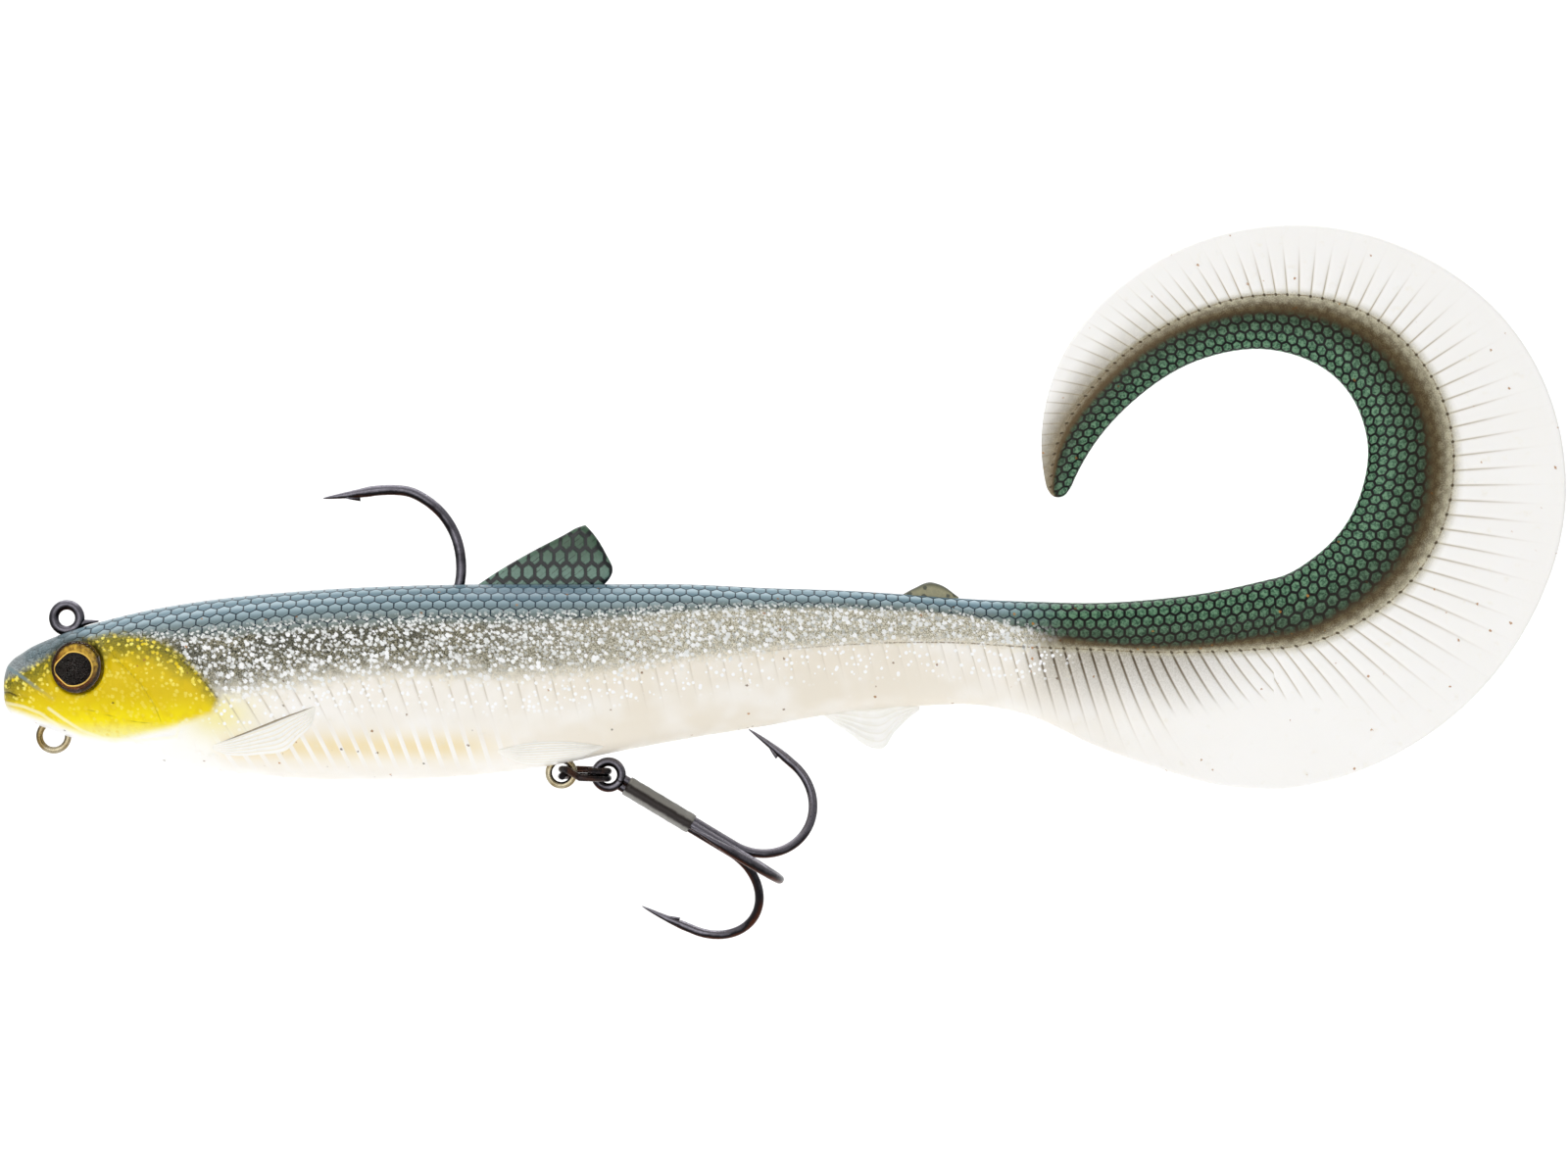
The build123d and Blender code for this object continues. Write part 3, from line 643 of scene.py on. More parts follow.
def skin_material():
    """The painted moulding. Noises are about 0.5, and grain about 0."""
    m = Material("moulded_skin", Roughness=0.3, Specular_IOR_Level=0.18, Subsurface_Weight=0.06,
                 Subsurface_Radius=(0.9, 0.8, 0.6), Subsurface_Scale=0.0008)
    rest = m.place()
    x, y, z = m.parts(rest)
    wide = m.noise(rest, 0.12)
    fine = m.noise(rest, 2.2, 3.0, 0.65)
    grain = m.noise(rest, 0.6, 3.0) - 0.5
    grit = m.noise(rest, 4.5, 2.0, 0.7)
    wobble = (grit - 0.5) * 0.7
    ragged = m.node("CombineXYZ", {0: x + wobble, 1: y, 2: z + wobble * -0.8})
    rib = abs(m["rib"] - m.math("ROUND", m["rib"]))
    out, height = m.hexagons(m["along"], m["girth"], 1.0)

    # Dense glitter on the flank, in an olive base that clears downwards.
    small, tone = m.flecks(ragged, 1.9, 0.72, 0.40, 0.52)
    large, big_tone = m.flecks(ragged, 1.1, 0.74, 0.35, 0.44)
    streak = m.ramp(m["band"], 0.25, 0.5) * m.ramp(m["band"], 0.75, 0.5) * m.ramp(wide, 0.4, 0.6)
    sparkle = m.layers(
        m.mix(m.ramp(grit, 0.40, 0.60), "36352a", "9c9780"),
        (streak * 0.6, "3c3e38"),
        (m["clear"] * 0.85,
         m.mix(m.ramp(grit, 0.38, 0.62), "98927c", "e6e1d0")),
        (m.ramp(m["band"] + grain * 0.35 + m["clear"] * -0.05, 0.72, 1.12),
         m.mix(m["beige"], "f0ebdc", "eee6d4")),
        (small * m.ramp(m["band"], 1.1, 0.6, 0.3, 1.0),
         m.mix(tone[1], "b0b2ac", "fafafa")),
        (large, m.mix(big_tone[1], "e2e4e2", "ffffff")))

    # Brown haze between the scales of the tail and the lateral line.
    far = m["to_line"] + grain * 0.3
    haze = m.layers(
        "242014",
        (m.ramp(far, -0.1, 0.45), "6a5e42"),
        (m.ramp(far, 0.35, 1.05), "ccc6ac"),
        (m.ramp(grit + out * 0.5, 0.55, 0.74) * m.ramp(far, 1.0, 0.2, 0.35, 0.85), "4a3a24"),
        (m["tip"] * 0.6, "68563e"))

    # Scales: a dark net round pale cells, each with a painted highlight along its upper edge and
    # painted shade towards its lower edge.
    netting = out + (fine - 0.5) * 0.10
    net = m.parts(m.mix(m["green"], m.ramp(netting, 0.42, 0.475), m.ramp(netting, 0.34, 0.43)))[0]
    scale = m.layers(
        "a6bec8",
        # Painted light in each cell: its upper edge kept pale as a painted highlight, its lower
        # part darkened as painted shade.
        (m.ramp(height, -0.45, 0.35), "627e8a"),
        (m["lower"] * 0.8, m.mix(fine, "52584e", "8e9488")),
        (m["green"], m.mix(m.ramp(fine, 0.35, 0.65), "30543e", "709878")),
        (net, m.mix(m["green"], "22303a", "040806")),
        (m["lower"] * m["green"] * 0.62, "262117"),
        # Painted shade on the scales under the dorsal fin.
        (m["painted_shade_under_fin"] * 0.5, "28465c"),
        (small * m.ramp(m["lower"], 0.55, 1.0) * (1 - m["green"]), "e8eae8"))
    scaled = m.ramp(m["scales"] + grain * 0.4, 0.2, 0.75)

    # Yellow cheeks, olive at their top, with round gold dots in their upper part.
    gold, gold_tone = m.flecks(ragged, 1.3, 0.80, 0.34, 0.44)
    gold = gold * m.ramp(m["ripe"], 1.0, 0.8, 0.4, 1.0) * m["yellow"]
    yellow = m.layers(
        "f8e400",
        (m.ramp(z, -16.2, -11.0), "dec000"),
        (m.ramp(grain, -0.1, 0.2) * 0.5, "e2c200"),
        (m.ramp(z, -15.4, -18.6), "f6f0a0"))
    cheek = m.layers(
        m.mix(m.ramp(grit, 0.35, 0.65), "5c5a22", "9c9028"),
        (m.ramp(m["ripe"] + grain * 0.5, 0.08, 0.85), yellow),
        (gold, m.mix(gold_tone[1], "ecce14", "fff478")))

    dot, _ = m.flecks(rest, 1.15, 0.66, 0.28, 0.36)
    lateral = m.fade(abs(m["below"]), 0.05, 0.16) * m.ramp(x, 95.0, 130.0)
    knot = m.fade(m.hypot(rib * 2.2, m["below"]), 0.18, 0.34) * m.ramp(x, 138.0, 154.0)
    lip = m.fade(m["lip"] + fine * 0.3 + grit * 0.4, 0.42, 0.78)
    speck, speck_tone = m.flecks(ragged, 0.42, 0.5, 0.06, 0.11)
    colour = m.layers(
        # The pearl body and its ribs
        m.mix(m["beige"], "fefdfb", "ede5d6"),
        (m.ramp(wide, 0.4, 0.7) * 0.5, "fefdfb"),
        (m["sallow"] * 0.75, "f4e882"),
        (m["ochre"] * (1 - m.fade(rib, 0.12, 0.18)) * 0.9, "f0deb0"),
        (m["root"] * m.ramp(grit, 0.3, 0.7, 0.55, 1.0) * 0.75, "766a4c"),
        (m["rib_ink_and_shade"] * m.fade(rib, 0.02, 0.065) * 0.75, "806a46"),
        # A broader painted shade either side of each rib groove.
        (m["rib_ink_and_shade"] * m.fade(rib, 0.03, 0.16) * 0.35, "baaa8a"),
        (m.fade(rib, 0.06, 0.13) * m["root"] * 0.9, "3e3020"),
        # White dots under the lateral line, the glitter, the haze and the line itself
        (dot * m.ramp(m["dots"], 0.1, 0.6), "ffffff"),
        (m.ramp(m["glitter"] + grain * 1.4, 0.1, 0.75), sparkle),
        (m["haze"], haze),
        (lateral * m.ramp(fine, 0.35, 0.6, 0.0, 0.75), "766242"),
        (knot * 0.85, "403220"),
        (scaled, scale),
        # The head: slate snout, cheeks, lip stripe and the moulded lines
        (m["slate"] * 0.85, m.mix(m.ramp(grit, 0.4, 0.6), "344246", "86969a")),
        (m["yellow"] * m.ramp(m["ripe"], 0.0, 0.12), cheek),
        (lip * m.ramp(z, -12.0, -8.6, 0.15, 0.9), "809498"),
        (m.fade(m["pale_lines"], 0.05, 0.4, 0.55), "fdfae0"),
        (m.fade(m["dark_lines"], 0.03, 0.20, 0.75), "3a361a"),
        (m.fade(m["fine_lines"], 0.0, 0.16, 0.4), "544c14"),
        # Painted shadow of the brow round the top of the eye socket.
        (m["brow_shadow"] * 0.55, "242a22"),
        (speck * 0.85, m.mix(speck_tone[1], "281a0e", "ba803c")))
    raised = net * scaled * -1.0 + tone[0] * small * m["glitter"] * 0.8 + fine * 0.25 + gold * 0.7
    return m.finish(colour, raised)


# The skin's pieces, each with its node, which is its body too, the body before it, and the
# start and end in metres of the stretch where it meets that body.
SKIN_PIECES = [
    ("trunk_skin", "trunk", None, None, None),
    ("rear_skin", "rear_trunk", "trunk", (0.0845, 0, 0), (0.1045, 0, 0)),
    ("tail_root_skin", "tail_root", "rear_trunk", (0.1285, 0, 0), (0.1535, 0, 0)),
    ("tail_bend_skin", "tail_bend", "tail_root", (0.1785, 0, 0), (0.1935, 0, 0)),
    ("tail_crown_skin", "tail_crown", "tail_bend", (0, 0, 0.0115), (0, 0, 0.0285)),
    ("tail_tip_skin", "tail_tip", "tail_crown", (0.198, 0, 0), (0.174, 0, 0)),
]
CUTS_AT_X, CUTS_AT_ANGLE = (80, 115, 160), (-45, 45)  # where one piece ends and the next starts


def soft_body():
    """The whole moulding, in pieces, one for each node."""
    s, *made = skin()
    cuts = [int(np.argmin(np.abs(s[key] - cut)))
            for key, places in (("x", CUTS_AT_X), ("angle", CUTS_AT_ANGLE)) for cut in places]
    ends = [0, *cuts, len(s["x"]) - 1]
    material = skin_material()
    for (name, node, before, start, end), first, last in zip(SKIN_PIECES, ends, ends[1:]):
        obj = slice_of_skin(name, *made, first, last)
        if before:
            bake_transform(obj)
        dress(obj, material, None if before else node, node)


# ---------------------------------------------------------------- fins


def leaf(name, upper, lower, half, side=0, rays=0, rows=90, columns=40):
    """A fin between two edge curves, flat on the middle plane or raised on the skin of a side."""
    a, b = path_through(upper, rows)[:, None, :], path_through(lower, rows)[:, None, :]
    w, t = np.linspace(0, 1, rows)[:, None], np.linspace(0, pi, columns)[None, :]
    t = (1 - np.cos(t)) / 2
    place = a * (1 - t[..., None]) + b * t[..., None]
    x, z = place[..., 0], place[..., 1]
    crown = (1 - np.abs(2 * t - 1) ** 5) ** 0.5 * (1 - np.abs(2 * w - 1) ** 9) ** 0.5
    ray = t * rays * np.ones_like(x)
    ripple = 1 + 0.16 * np.cos(2 * pi * ray) * step(0.02, 0.25, w) * (1 - step(0.9, 1.0, w))
    if side:
        skin_y = skin_half(x, z)
        front = side * (skin_y - LEAF_SUNK + (half + LEAF_SUNK) * crown * ripple)
        back = side * (skin_y - LEAF_BACK)
    else:
        back = half * crown * ripple
        front = -back
    vertices = np.concatenate([np.stack([x, y, z], -1).reshape(-1, 3) for y in (front, back)])
    quads = grid_faces(rows, columns, False)
    n = rows * columns
    ids = np.arange(n).reshape(rows, columns)
    ids = [*ids[0, :-1], *ids[:-1, -1], *ids[-1, :0:-1], *ids[:0:-1, 0]]
    faces = quads.tolist() + (quads[:, ::-1] + n).tolist()
    faces += [(j, i, i + n, j + n) for i, j in zip(ids, ids[1:] + ids[:1])]
    if side > 0:
        faces = [face[::-1] for face in faces]
    obj = new_mesh(name, vertices, faces)
    face_outwards(obj)
    fields = {"ray": ray, "across": t * np.ones_like(x), "out": w * np.ones_like(x)}
    give(obj, rest=vertices, **{key: np.tile(value.ravel(), 2) for key, value in fields.items()})
    return obj


# Edges of the fins. A fin raised on the skin starts and ends these depths inside it.
LEAF_SUNK, LEAF_BACK = 0.25, 0.6
DORSAL_TOP = [(63.0, 4.9), (66.0, 6.9), (72.0, 10.4), (76.8, 12.9), (78.6, 13.9), (79.8, 14.3)]
DORSAL_BASE = [(63.0, 4.2), (70.0, 4.2), (80.0, 4.4), (82.6, 5.0), (84.1, 7.2), (83.0, 10.0),
               (80.6, 13.6), (79.9, 14.3)]
ADIPOSE_TOP = [(128.4, 3.4), (130.6, 4.6), (133.0, 5.5), (134.6, 5.1), (137.4, 3.2)]
ADIPOSE_BASE = [(128.5, 2.8), (133.0, 2.6), (137.4, 2.5)]
ANAL_TOP = [(116.4, -14.4), (121.0, -13.4), (127.0, -12.9), (131.4, -13.2)]
ANAL_EDGE = [(116.5, -15.0), (120.4, -17.7), (124.3, -20.1), (125.4, -20.2), (127.6, -17.6),
             (129.6, -15.6), (131.4, -14.2)]
PECTORAL_TOP = [(23.2, -19.4), (28.0, -17.5), (34.0, -15.1), (39.3, -13.3)]
PECTORAL_LOW = [(23.0, -20.0), (25.5, -20.9), (30.5, -20.9), (34.8, -20.1), (36.6, -18.3),
                (38.5, -16.4), (39.3, -13.6)]
PELVIC_TOP = [(66.6, -20.2), (71.0, -19.1), (78.0, -18.9), (82.9, -19.6)]
PELVIC_LOW = [(66.6, -20.5), (70.0, -22.2), (75.0, -22.4), (80.0, -21.3), (82.9, -19.8)]


def green_fin_material():
    """Green cells in a black net, with fine oblique strokes."""
    m = Material("green_fin", Roughness=0.35)
    rest = m.place()
    x, _, z = m.parts(rest)
    fine = m.noise(rest, 2.4, 3.0, 0.65)
    out, _ = m.hexagons(x, z * 0.72, 1.95)
    net = m.ramp(out + (fine - 0.5) * 0.10, 0.32, 0.41)
    slanted = abs(m.saw((x * 0.62 + z * -0.78 + fine * 0.35) * 1.25))
    stroke = m.ramp(slanted, 0.10, 0.04) * m.ramp(m.noise(rest, 0.5), 0.4, 0.6)
    colour = m.layers(
        "86a898",
        (m.ramp(z, 5.0, 12.0), "3e5c44"),
        (fine * 0.6, "284232"),
        (m.math("MAXIMUM", net, stroke * 0.8), "0e1414"))
    return m.finish(colour, fine * 0.3 - net)


def olive_fin_material():
    """Olive with dark blotches and a dark upper edge."""
    m = Material("olive_fin", Roughness=0.35)
    rest = m.place()
    fine = m.noise(rest, 2.4, 3.0, 0.65)
    edge = m.fade(m["across"], 0.0, 0.35)
    spot = m.fade(m.cells(rest, 0.75) + fine * 0.15, 0.36, 0.48)
    colour = m.layers(
        "7a7a60",
        (fine, "a8a27e"),
        (m.math("MAXIMUM", spot * 0.8, edge * 0.85), "243028"))
    return m.finish(colour, fine, 0.3, 0.0001)


def pale_fin_material():
    """Pearl white with soft rays, and a brown upper edge on the pectoral fins."""
    m = Material("pale_fin", Roughness=0.3, Specular_IOR_Level=0.3)
    fine = m.noise(m.place(), 1.6, 3.0)
    edge = m.fade(m["across"], 0.05, 0.10) * m["edge"]
    colour = m.layers(
        "f8f7f3",
        (m.ramp(abs(m.saw(m["ray"])), 0.2, 0.5) * 0.8, "f0e7d0"),
        (edge * m.ramp(m["out"], 0.05, 0.25) * 0.85, "766232"),
        (m.ramp(fine, 0.55, 0.8) * 0.25, "e2dac4"))
    return m.finish(colour, fine, 0.15, 0.0001)


def clear_fin_material():
    """Nearly white, with faint rays."""
    m = Material("clear_fin", Roughness=0.3, Specular_IOR_Level=0.3)
    return m.finish(m.layers(
        "f7f6f0",
        (m.ramp(m.noise(m.place(), 0.5), 0.35, 0.65), "fbfaf7"),
        (m.ramp(abs(m.saw(m["ray"])), 0.3, 0.5) * 0.4, "eae5d6")))


def fins():
    """Three blades on the middle plane, and two pairs raised on the skin."""
    green, olive, clear = green_fin_material(), olive_fin_material(), clear_fin_material()
    for kind, body, upper, lower, half, rays, material in (
            ("dorsal", "trunk", DORSAL_TOP, DORSAL_BASE, 0.75, 0, green),
            ("adipose", "rear_trunk", ADIPOSE_TOP, ADIPOSE_BASE, 0.6, 0, olive),
            ("anal", "rear_trunk", ANAL_TOP, ANAL_EDGE, 0.5, 6, clear)):
        obj = leaf(f"{kind}_fin_blade", upper, lower, half, rays=rays)
        if body != "trunk":
            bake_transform(obj)
            body = None
        dress(obj, material, body, f"{kind}_fin")
    pale = pale_fin_material()
    for word, side in SIDES:
        for kind, upper, lower, rays in (("pectoral", PECTORAL_TOP, PECTORAL_LOW, 7),
                                         ("pelvic", PELVIC_TOP, PELVIC_LOW, 9)):
            obj = leaf(f"{kind}_fin_relief_{word}", upper, lower, 0.38, side, rays)
            give(obj, edge=np.full(len(obj.data.vertices), kind == "pectoral"))
            dress(obj, pale, "trunk", f"{kind}_fin_{word}")


# ---------------------------------------------------------------- eyes

EYE_OUT = 7.6  # from the middle plane to the floor of the socket
EYE_FORWARD, EYE_UP = 14, 6  # how far the eye looks forward and up, in degrees
PRINT_LIFT, PRINT_CROWN, PRINT_EDGE = 0.38, 0.05, 0.05
DOME_LIFT, DOME_CROWN, DOME_BACK, DOME_HOLE = 0.52, 1.68, 0.46, 0.4


def eye_frame(side):
    """Origin on the socket's floor, then the eye's forward, up and outward directions."""
    a, b = radians(EYE_FORWARD), radians(EYE_UP)
    out = np.array((-sin(a), side * cos(a) * cos(b), sin(b)))
    out /= np.linalg.norm(out)
    up = np.array((0, 0, 1.0)) - out * out[2]
    up /= np.linalg.norm(up)
    return np.array((EYE[0], side * EYE_OUT, EYE[1])), np.cross(up, out) * side, up, out


def disc(name, side, radii, heights, segments=72):
    """A round form about the eye's axis, from its middle out, with the local place stored."""
    origin, front, up, out = eye_frame(side)
    turn = np.linspace(0, 2 * pi, segments, endpoint=False)
    local = [(0, 0, heights[0])]
    for r, h in zip(radii[1:], heights[1:]):
        local += [(r * cos(t), r * sin(t), h) for t in turn]
    local = np.array(local, float)
    vertices = origin + local @ np.stack([front, up, out])
    faces = [(0, 1 + k, 1 + (k + 1) % segments) for k in range(segments)]
    faces += (grid_faces(len(radii) - 1, segments, True)[:, ::-1] + 1).tolist()
    if side > 0:
        faces = [face[::-1] for face in faces]
    obj = new_mesh(name, vertices, faces)
    give(obj, rest=vertices, local=local)
    return obj


def foil_material():
    """A printed eye: dark rim, gold iris, and a dark pupil pointed towards the front."""
    m = Material("eye_print", Roughness=0.28, Specular_IOR_Level=0.1)
    x, y, _ = m.parts(m.place("local"))
    fine = m.noise(m.place(), 1.6, 4.0, 0.6)
    out = m.hypot(x, y)
    px, py = x - 0.4, y + 0.3
    nose = m.ramp(px, 0.6, 3.2, 1.0, 1.4)
    shape = m.math("SQRT", px * px * 0.72 + py * py * nose * nose)
    bright = m.ramp(shape, 2.44, 2.52) * m.fade(shape, 2.58, 2.74)
    pupil = m.fade(shape, 2.42, 2.5)
    colour = m.layers(
        "683814",
        (m.ramp(y + x * -0.6, -1.2, 3.2), "e2ba4c"),
        (m.ramp(fine, 0.35, 0.7, 0.0, 0.8), "5c3210"),
        (bright * 0.95, "f6ce68"),
        (m.ramp(out + fine * 0.35, 3.3, 3.75), "2e1c0e"),
        (m.ramp(out, 3.8, 3.92) * 0.6, "78541e"),
        (pupil, "140e0e"))
    m.set("Metallic", (1 - pupil) * 0.55)
    return m.finish(colour, fine * 0.4 + bright * 0.5, 0.3, 0.0001)


def dome_material():
    m = Material("clear_dome", Roughness=0.03, IOR=1.12, Transmission_Weight=1.0)
    return m.finish(m.mix(m.noise(m.place(), 0.8), "fffefa", "faf8f0"))


def eyes():
    """A crowned printed plate under a clear dome, on each side."""
    foil, dome = foil_material(), dome_material()
    rings = np.linspace(0, EYE_RADIUS - 0.02, 24)
    heights = PRINT_LIFT + PRINT_CROWN * np.cos(rings / EYE_RADIUS * pi / 2)
    arc = np.linspace(0, 1, 20) * pi / 2
    edge = EYE_RADIUS - 0.03
    for word, side in SIDES:
        plate = disc(f"eye_print_{word}", side, np.append(rings, rings[-1]),
                     np.append(heights, PRINT_EDGE))
        dress(plate, foil, "trunk", f"eye_foil_{word}")
        lens = disc(f"eye_dome_{word}", side, [*edge * np.sin(arc), edge, DOME_HOLE],
                    [*DOME_LIFT + DOME_CROWN * np.cos(arc), DOME_BACK, DOME_BACK])
        face_outwards(lens, fill=True)
        dress(lens, dome, "trunk", f"eye_lens_{word}")


# ---------------------------------------------------------------- hooks and wires

JIG_PATH = [(0.5, -2.3), (3.0, -2.9), (8.0, -3.3), (20.0, -3.3), (36.0, -3.3), (49.4, -3.3),
            (54.6, -2.1), (58.6, 1.2), (60.5, 5.2), (60.7, 9.0), (59.8, 12.8), (57.9, 15.9),
            (55.4, 18.1), (52.8, 19.4), (50.4, 19.7), (47.8, 19.6), (45.2, 19.2), (39.5, 18.4)]
LINE_TIE_RADIUS, LINE_TIE_WIRE, JIG_WIRE = 2.0, 0.76, 0.8
POINT_LENGTH = 7.0
BARB_HEIGHT, BARB_SUNK = 0.55, 0.35


def needle(points, radius, length, thin=0.06):
    """Radii along a path that ends in a tapered point of some length."""
    left = arc_length(np.array(points))
    left = left[-1] - left
    return thin + (radius - thin) * np.clip(left / length, 0, 1) ** 0.75


def barb(name, points, radii, back, inner, length, thick):
    """A small wedge that rises from a wire's inner side, some way back from its point."""
    left = arc_length(points)
    k = int(np.argmin(np.abs(left[-1] - back - left)))
    heading = points[k + 1] - points[k - 1]
    heading /= np.linalg.norm(heading)
    inner = inner - heading * (inner @ heading)
    inner /= np.linalg.norm(inner)
    place = points[k] + inner * (radii[k] - BARB_SUNK)
    side = np.cross(heading, inner)
    rows = []
    for k in np.linspace(0, 1, 12):
        lift = inner * (BARB_HEIGHT + BARB_SUNK) * k ** 0.8
        half = side * (thick * (1 - k) ** 0.6 + 0.03)
        base = place + heading * length * (1 - k)
        rows += [base + half, base + lift + half * 0.35, base + lift - half * 0.35, base - half]
    n = len(rows)
    faces = grid_faces(n // 4, 4, True).tolist()
    return wire_with_painted_light(name, np.array(rows), faces + [(0, 1, 2, 3), (n - 1, n - 2, n - 3, n - 4)])


def black_nickel():
    """Dark plating with painted light from the wire's tone: a brown painted reflection underneath,
    a grey painted highlight on top, and fine drawing marks.
    """
    m = Material("black_nickel", Metallic=1.0)
    rest = m.place()
    fine = m.noise(rest, 3.0, 4.0, 0.6)
    tone = m["tone"] + (m.noise(rest, 0.35, 3.0) - 0.5) * 0.5
    # Painted light: brown where the wire faces down, near black at its sides, light grey where it
    # faces up.
    colour = m.layers(
        "4e2612",
        (m.ramp(tone, 0.2, 0.48), "222022"),
        (m.ramp(tone, 0.5, 0.78), "7e7b84"),
        (fine * 0.4, "1a1a1c"))
    m.set("Roughness", m.ramp(fine, 0.2, 0.8, 0.22, 0.42))
    return m.finish(colour, fine, 0.25, 0.00006)


def ring_mesh(name, radius, wire, segments=96, around=20):
    """A closed ring about the origin, square to Y."""
    t = np.linspace(0, 2 * pi, segments, endpoint=False)[:, None, None]
    a = np.linspace(0, 2 * pi, around, endpoint=False)[None, :, None]
    out = np.cos(t) * (1, 0, 0) + np.sin(t) * (0, 0, 1)
    vertices = (out * (radius + wire * np.cos(a)) + wire * np.sin(a) * (0, 1, 0)).reshape(-1, 3)
    faces = grid_faces(segments + 1, around, True) % (segments * around)
    return wire_with_painted_light(name, vertices, faces)


def jig_hook(metal):
    """The black hook through the body, with its point over the back and its eye as line tie."""
    flat = path_through(JIG_PATH, 320)
    points = np.stack([flat[:, 0], 0 * flat[:, 0], flat[:, 1]], 1)
    radii = needle(points, JIG_WIRE, POINT_LENGTH)
    wire_end = path_through([(1.75, 0, -1.1), (2.6, 0, -0.8), (4.9, 0, -0.5)], 24)
    hook = join("jig_hook_shaped", [
        tube("jig_hook_wire", points, radii, 20),
        barb("jig_barb", points, radii, 5.6, np.array((0, 0, -1.0)), 2.4, 0.42),
        ring_mesh("line_tie", LINE_TIE_RADIUS, LINE_TIE_WIRE),
        tube("wire_end", wire_end, np.linspace(0.66, 0.12, 24), 16),
    ])
    dress(hook, metal, "trunk", "jig_hook")


BELLY_EYE = (76.2, -23.85)
RING_RADIUS, RING_TILT = 3.63, 2.5
TREBLE_ANGLE, TREBLE_TURNS = 31.0, (25, 145, 271)  # of the shank, and of the hooks about it
TREBLE_WIRE, TREBLE_EYE = 0.7, 2.0
SHANK_OFFSET, BEND_AT, BEND_RADIUS = 0.7, 22.2, 8.45
POINT_OUT, POINT_LAND, TREBLE_POINT = 8, 1.5, 7.0
POINT_BOW = 0.6  # how far the middle of the point bows outwards
THIRD_START = 6.0
SLEEVE = (3.3, 14.9)


def treble_eye():
    """The middle of the treble's eye, across the split ring from the belly eye."""
    tilt, far = radians(RING_TILT), 2 * RING_RADIUS
    return np.array((BELLY_EYE[0] + far * cos(tilt), 0, BELLY_EYE[1] - far * sin(tilt)))


def treble_directions(turn):
    """Along the treble's shank, and out from it towards the hook at some turn."""
    a, t = radians(TREBLE_ANGLE), radians(turn)
    return (np.array((cos(a), 0, -sin(a))),
            np.array((sin(a), 0, cos(a))) * cos(t) + np.array((0, 1.0, 0)) * sin(t))


def treble_arm(name, turn, start):
    """One hook of the treble: shank, round bend, land, needle point and barb."""
    shank, out = treble_directions(turn)
    sweep = radians(180 - POINT_OUT)
    flat = [(p, SHANK_OFFSET) for p in np.linspace(start, BEND_AT, 50)[:-1]]
    flat += [(BEND_AT + BEND_RADIUS * sin(t), SHANK_OFFSET + BEND_RADIUS * (1 - cos(t)))
             for t in np.linspace(0, sweep, 60)]
    heading, bow = np.array((cos(sweep), sin(sweep))), np.array((sin(sweep), -cos(sweep)))
    k = np.linspace(0, 1, 50)[1:, None]
    point = flat[-1] + heading * (POINT_LAND + TREBLE_POINT) * k + bow * POINT_BOW * k * (1 - k)
    flat = np.vstack([flat, point])
    points = treble_eye() + flat[:, :1] * shank + flat[:, 1:] * out
    radii = needle(points, TREBLE_WIRE, TREBLE_POINT)
    return [tube(name, points, radii, 18),
            barb(name + "_barb", points, radii, 6.2, -out, 2.3, 0.36)]


def treble(metal):
    """Two hooks of one wire with the eye between them, a third hook, and the sleeve."""
    upper, lower, third = TREBLE_TURNS
    shank, out = treble_directions(third)
    turn = np.linspace(0, 2 * pi, 73)[:, None]
    ring = treble_eye() + TREBLE_EYE * (np.cos(turn) * shank + np.sin(turn) * np.cross(shank, out))
    eye = tube("treble_eye", ring, np.full(len(ring), TREBLE_WIRE), 18)
    start = TREBLE_EYE - TREBLE_WIRE / 2
    double = [*treble_arm("upper", upper, start), *treble_arm("lower", lower, start), eye]
    dress(join("treble_double_shaped", double), metal, "treble", "treble_double_hook")
    dress(join("treble_third_shaped", treble_arm("third", third, THIRD_START)), metal, "treble",
          "treble_third_hook")
    sleeve()


def sleeve():
    """A shrink tube drawn onto the three shanks, so that its section is a soft triangle."""
    shank, first = treble_directions(TREBLE_TURNS[0])
    other = np.cross(shank, first)
    front, back = SLEEVE
    profile = [(front, 1.36), (front, 1.58), *((k, 1.62) for k in np.linspace(*SLEEVE, 24)[1:-1]),
               (back, 1.56), (back, 1.36)]
    along, radius = (np.array(column)[:, None] for column in zip(*profile))
    turn = np.linspace(0, 2 * pi, 60, endpoint=False)
    uneven = 0.02 * np.sin(along * 2.3) + 0.015 * np.sin(along * 5.1)
    radius = (radius + uneven - 0.12 + 0.12 * np.cos(3 * turn))[..., None]
    out = np.outer(np.cos(turn), first) + np.outer(np.sin(turn), other)
    vertices = (treble_eye() + shank * along[..., None] + radius * out).reshape(-1, 3)
    obj = new_mesh("treble_sleeve_tube", vertices, grid_faces(len(profile), len(turn), True))
    give(obj, rest=vertices, wires=np.tile(np.cos(3 * turn), len(profile)))
    m = Material("sleeve_tube", Roughness=0.22, IOR=1.3, Transmission_Weight=0.25)
    fine = m.noise(m.place(), 1.2, 4.0, 0.65)
    over_wire = m.ramp(m["wires"] + (fine - 0.5) * 0.8, -0.3, 0.7)
    m.finish(m.mix(over_wire, "96948e", "342e2c"), fine, 0.4, 0.0002)
    dress(obj, m.made, "treble", "treble_sleeve")


def cad_metal(name, base, warm, roughness):
    """A metal for a CAD node that is shown as it is, patterned by its place in metres."""
    m = Material(name, Metallic=1.0)
    place = m.node("TexCoord", output="Object")
    fine = m.noise(place, 2600.0, 4.0, 0.6)
    m.set("Roughness", m.ramp(fine, 0.2, 0.8, roughness * 0.8, roughness * 1.3))
    colour = m.mix(m.ramp(m.noise(place, 350.0, 3.0), 0.35, 0.65), base, warm)
    return m.finish(colour, fine, 0.2, 0.00005)


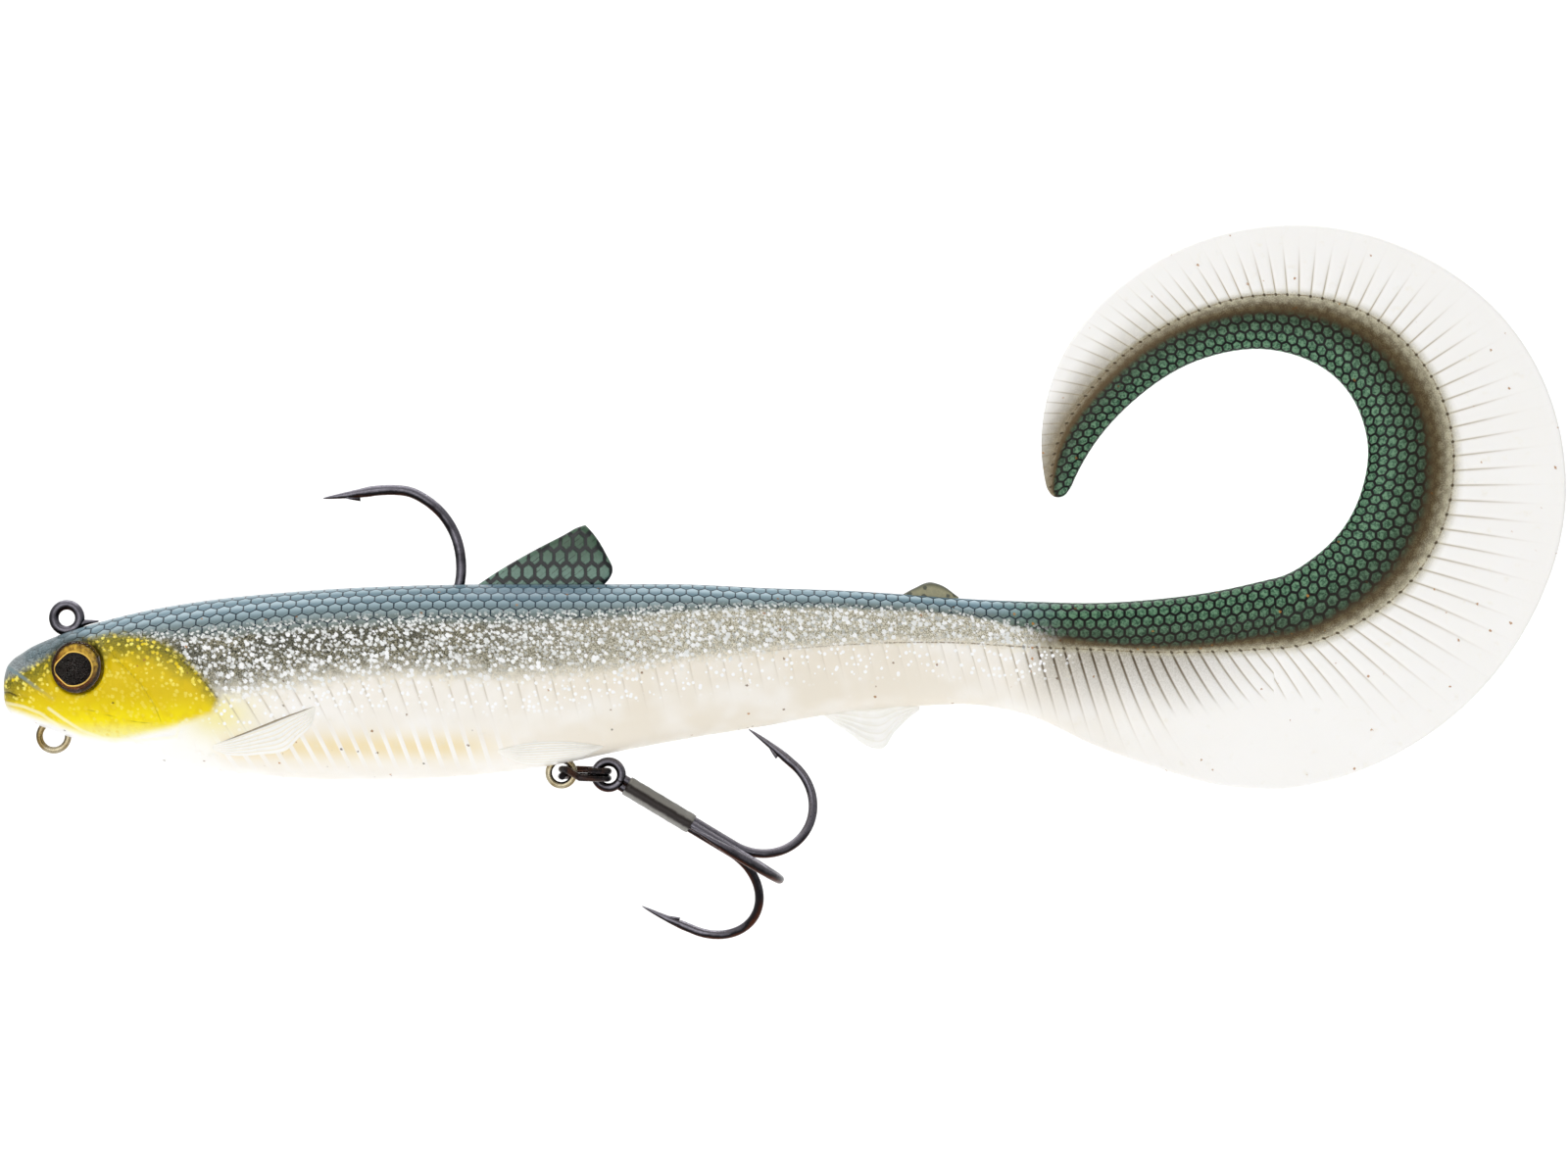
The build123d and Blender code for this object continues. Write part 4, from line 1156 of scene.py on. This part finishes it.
def paint_cad_nodes():
    for node, *look in (
            ("split_ring", "ring_nickel", "2c2a2c", "4a3226", 0.28),
            ("wire_harness", "stainless", "b2a88e", "847046", 0.25),
            ("cast_weight", "cast_lead", "787a7e", "5c5e62", 0.55)):
        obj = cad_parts[node]
        obj.data.materials.clear()
        obj.data.materials.append(cad_metal(*look))


# ---------------------------------------------------------------- stage, light and camera


def stage():
    """A pale cove: a floor that curves up into a wall."""
    floor_z, wall_y, wall_top, bend = -135.0, 1600.0, 1500.0, 400.0
    profile = [(-1700.0, floor_z), (0.0, floor_z), (wall_y - bend, floor_z)]
    profile += [(wall_y - bend + bend * sin(t), floor_z + bend * (1 - cos(t)))
                for t in np.linspace(0, pi / 2, 24)[1:]]
    profile += [(wall_y, wall_top)]
    vertices = [(x, y, z) for y, z in profile for x in (-1700.0, 1900.0)]
    cove = new_mesh("cove", vertices, grid_faces(len(profile), 2, False))
    cove.data.materials.append(Material("cove_paper", Roughness=0.9).finish("fafafa"))


def area_light(name, place, aim, size, power):
    light = bpy.data.lights.new(name, "AREA")
    light.shape, light.size, light.size_y, light.energy = "RECTANGLE", size[0], size[1], power
    obj = bpy.data.objects.new(name, light)
    bpy.context.scene.collection.objects.link(obj)
    obj.location = place
    obj.rotation_euler = (Vector(aim) - Vector(place)).to_track_quat("-Z", "Y").to_euler()


def lights():
    """Soft boxes: place, aim and size in metres, and power in watts."""
    for light in (
            ("low_fill", (0.11, -0.55, -0.115), (0.11, 0.0, -0.01), (0.5, 0.12), 0.45),
            ("top_softbox", (0.10, -0.15, 0.85), (0.11, 0.0, 0.0), (1.2, 0.7), 2.8),
            ("front_fill", (-0.35, -1.15, 0.35), (0.11, 0.0, 0.0), (0.9, 0.9), 4.2),
            ("wall_light", (0.11, 0.45, 1.0), (0.11, 1.5, -0.1), (1.2, 0.6), 15.0)):
        area_light(*light)
    world = bpy.data.worlds.new("studio")
    world.use_nodes = True
    background = world.node_tree.nodes["Background"]
    background.inputs["Color"].default_value = (1, 1, 1, 1)
    background.inputs["Strength"].default_value = 0.40
    bpy.context.scene.world = world


def camera():
    """Square on to the fish's left side through a long lens. View width is in metres."""
    middle_x, middle_z, view_width, lens, sensor = 0.1105, 0.0046, 0.2416, 135.0, 36.0
    data = bpy.data.cameras.new("camera")
    data.lens, data.sensor_width = lens, sensor
    data.clip_start, data.clip_end = 0.05, 10.0
    obj = bpy.data.objects.new("camera", data)
    bpy.context.scene.collection.objects.link(obj)
    obj.location = (middle_x, -view_width * lens / sensor, middle_z)
    obj.rotation_euler = (radians(90), 0, 0)
    bpy.context.scene.camera = obj
    bpy.context.scene.view_settings.view_transform = "Standard"


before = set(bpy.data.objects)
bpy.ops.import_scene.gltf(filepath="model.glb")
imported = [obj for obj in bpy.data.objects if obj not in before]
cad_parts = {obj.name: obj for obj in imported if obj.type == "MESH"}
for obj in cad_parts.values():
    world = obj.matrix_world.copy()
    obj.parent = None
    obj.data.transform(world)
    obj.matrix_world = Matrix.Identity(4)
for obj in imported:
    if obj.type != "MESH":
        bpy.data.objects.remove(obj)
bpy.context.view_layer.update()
camera()
stage()
lights()
soft_body()
fins()
eyes()
nickel = black_nickel()
jig_hook(nickel)
treble(nickel)
paint_cad_nodes()
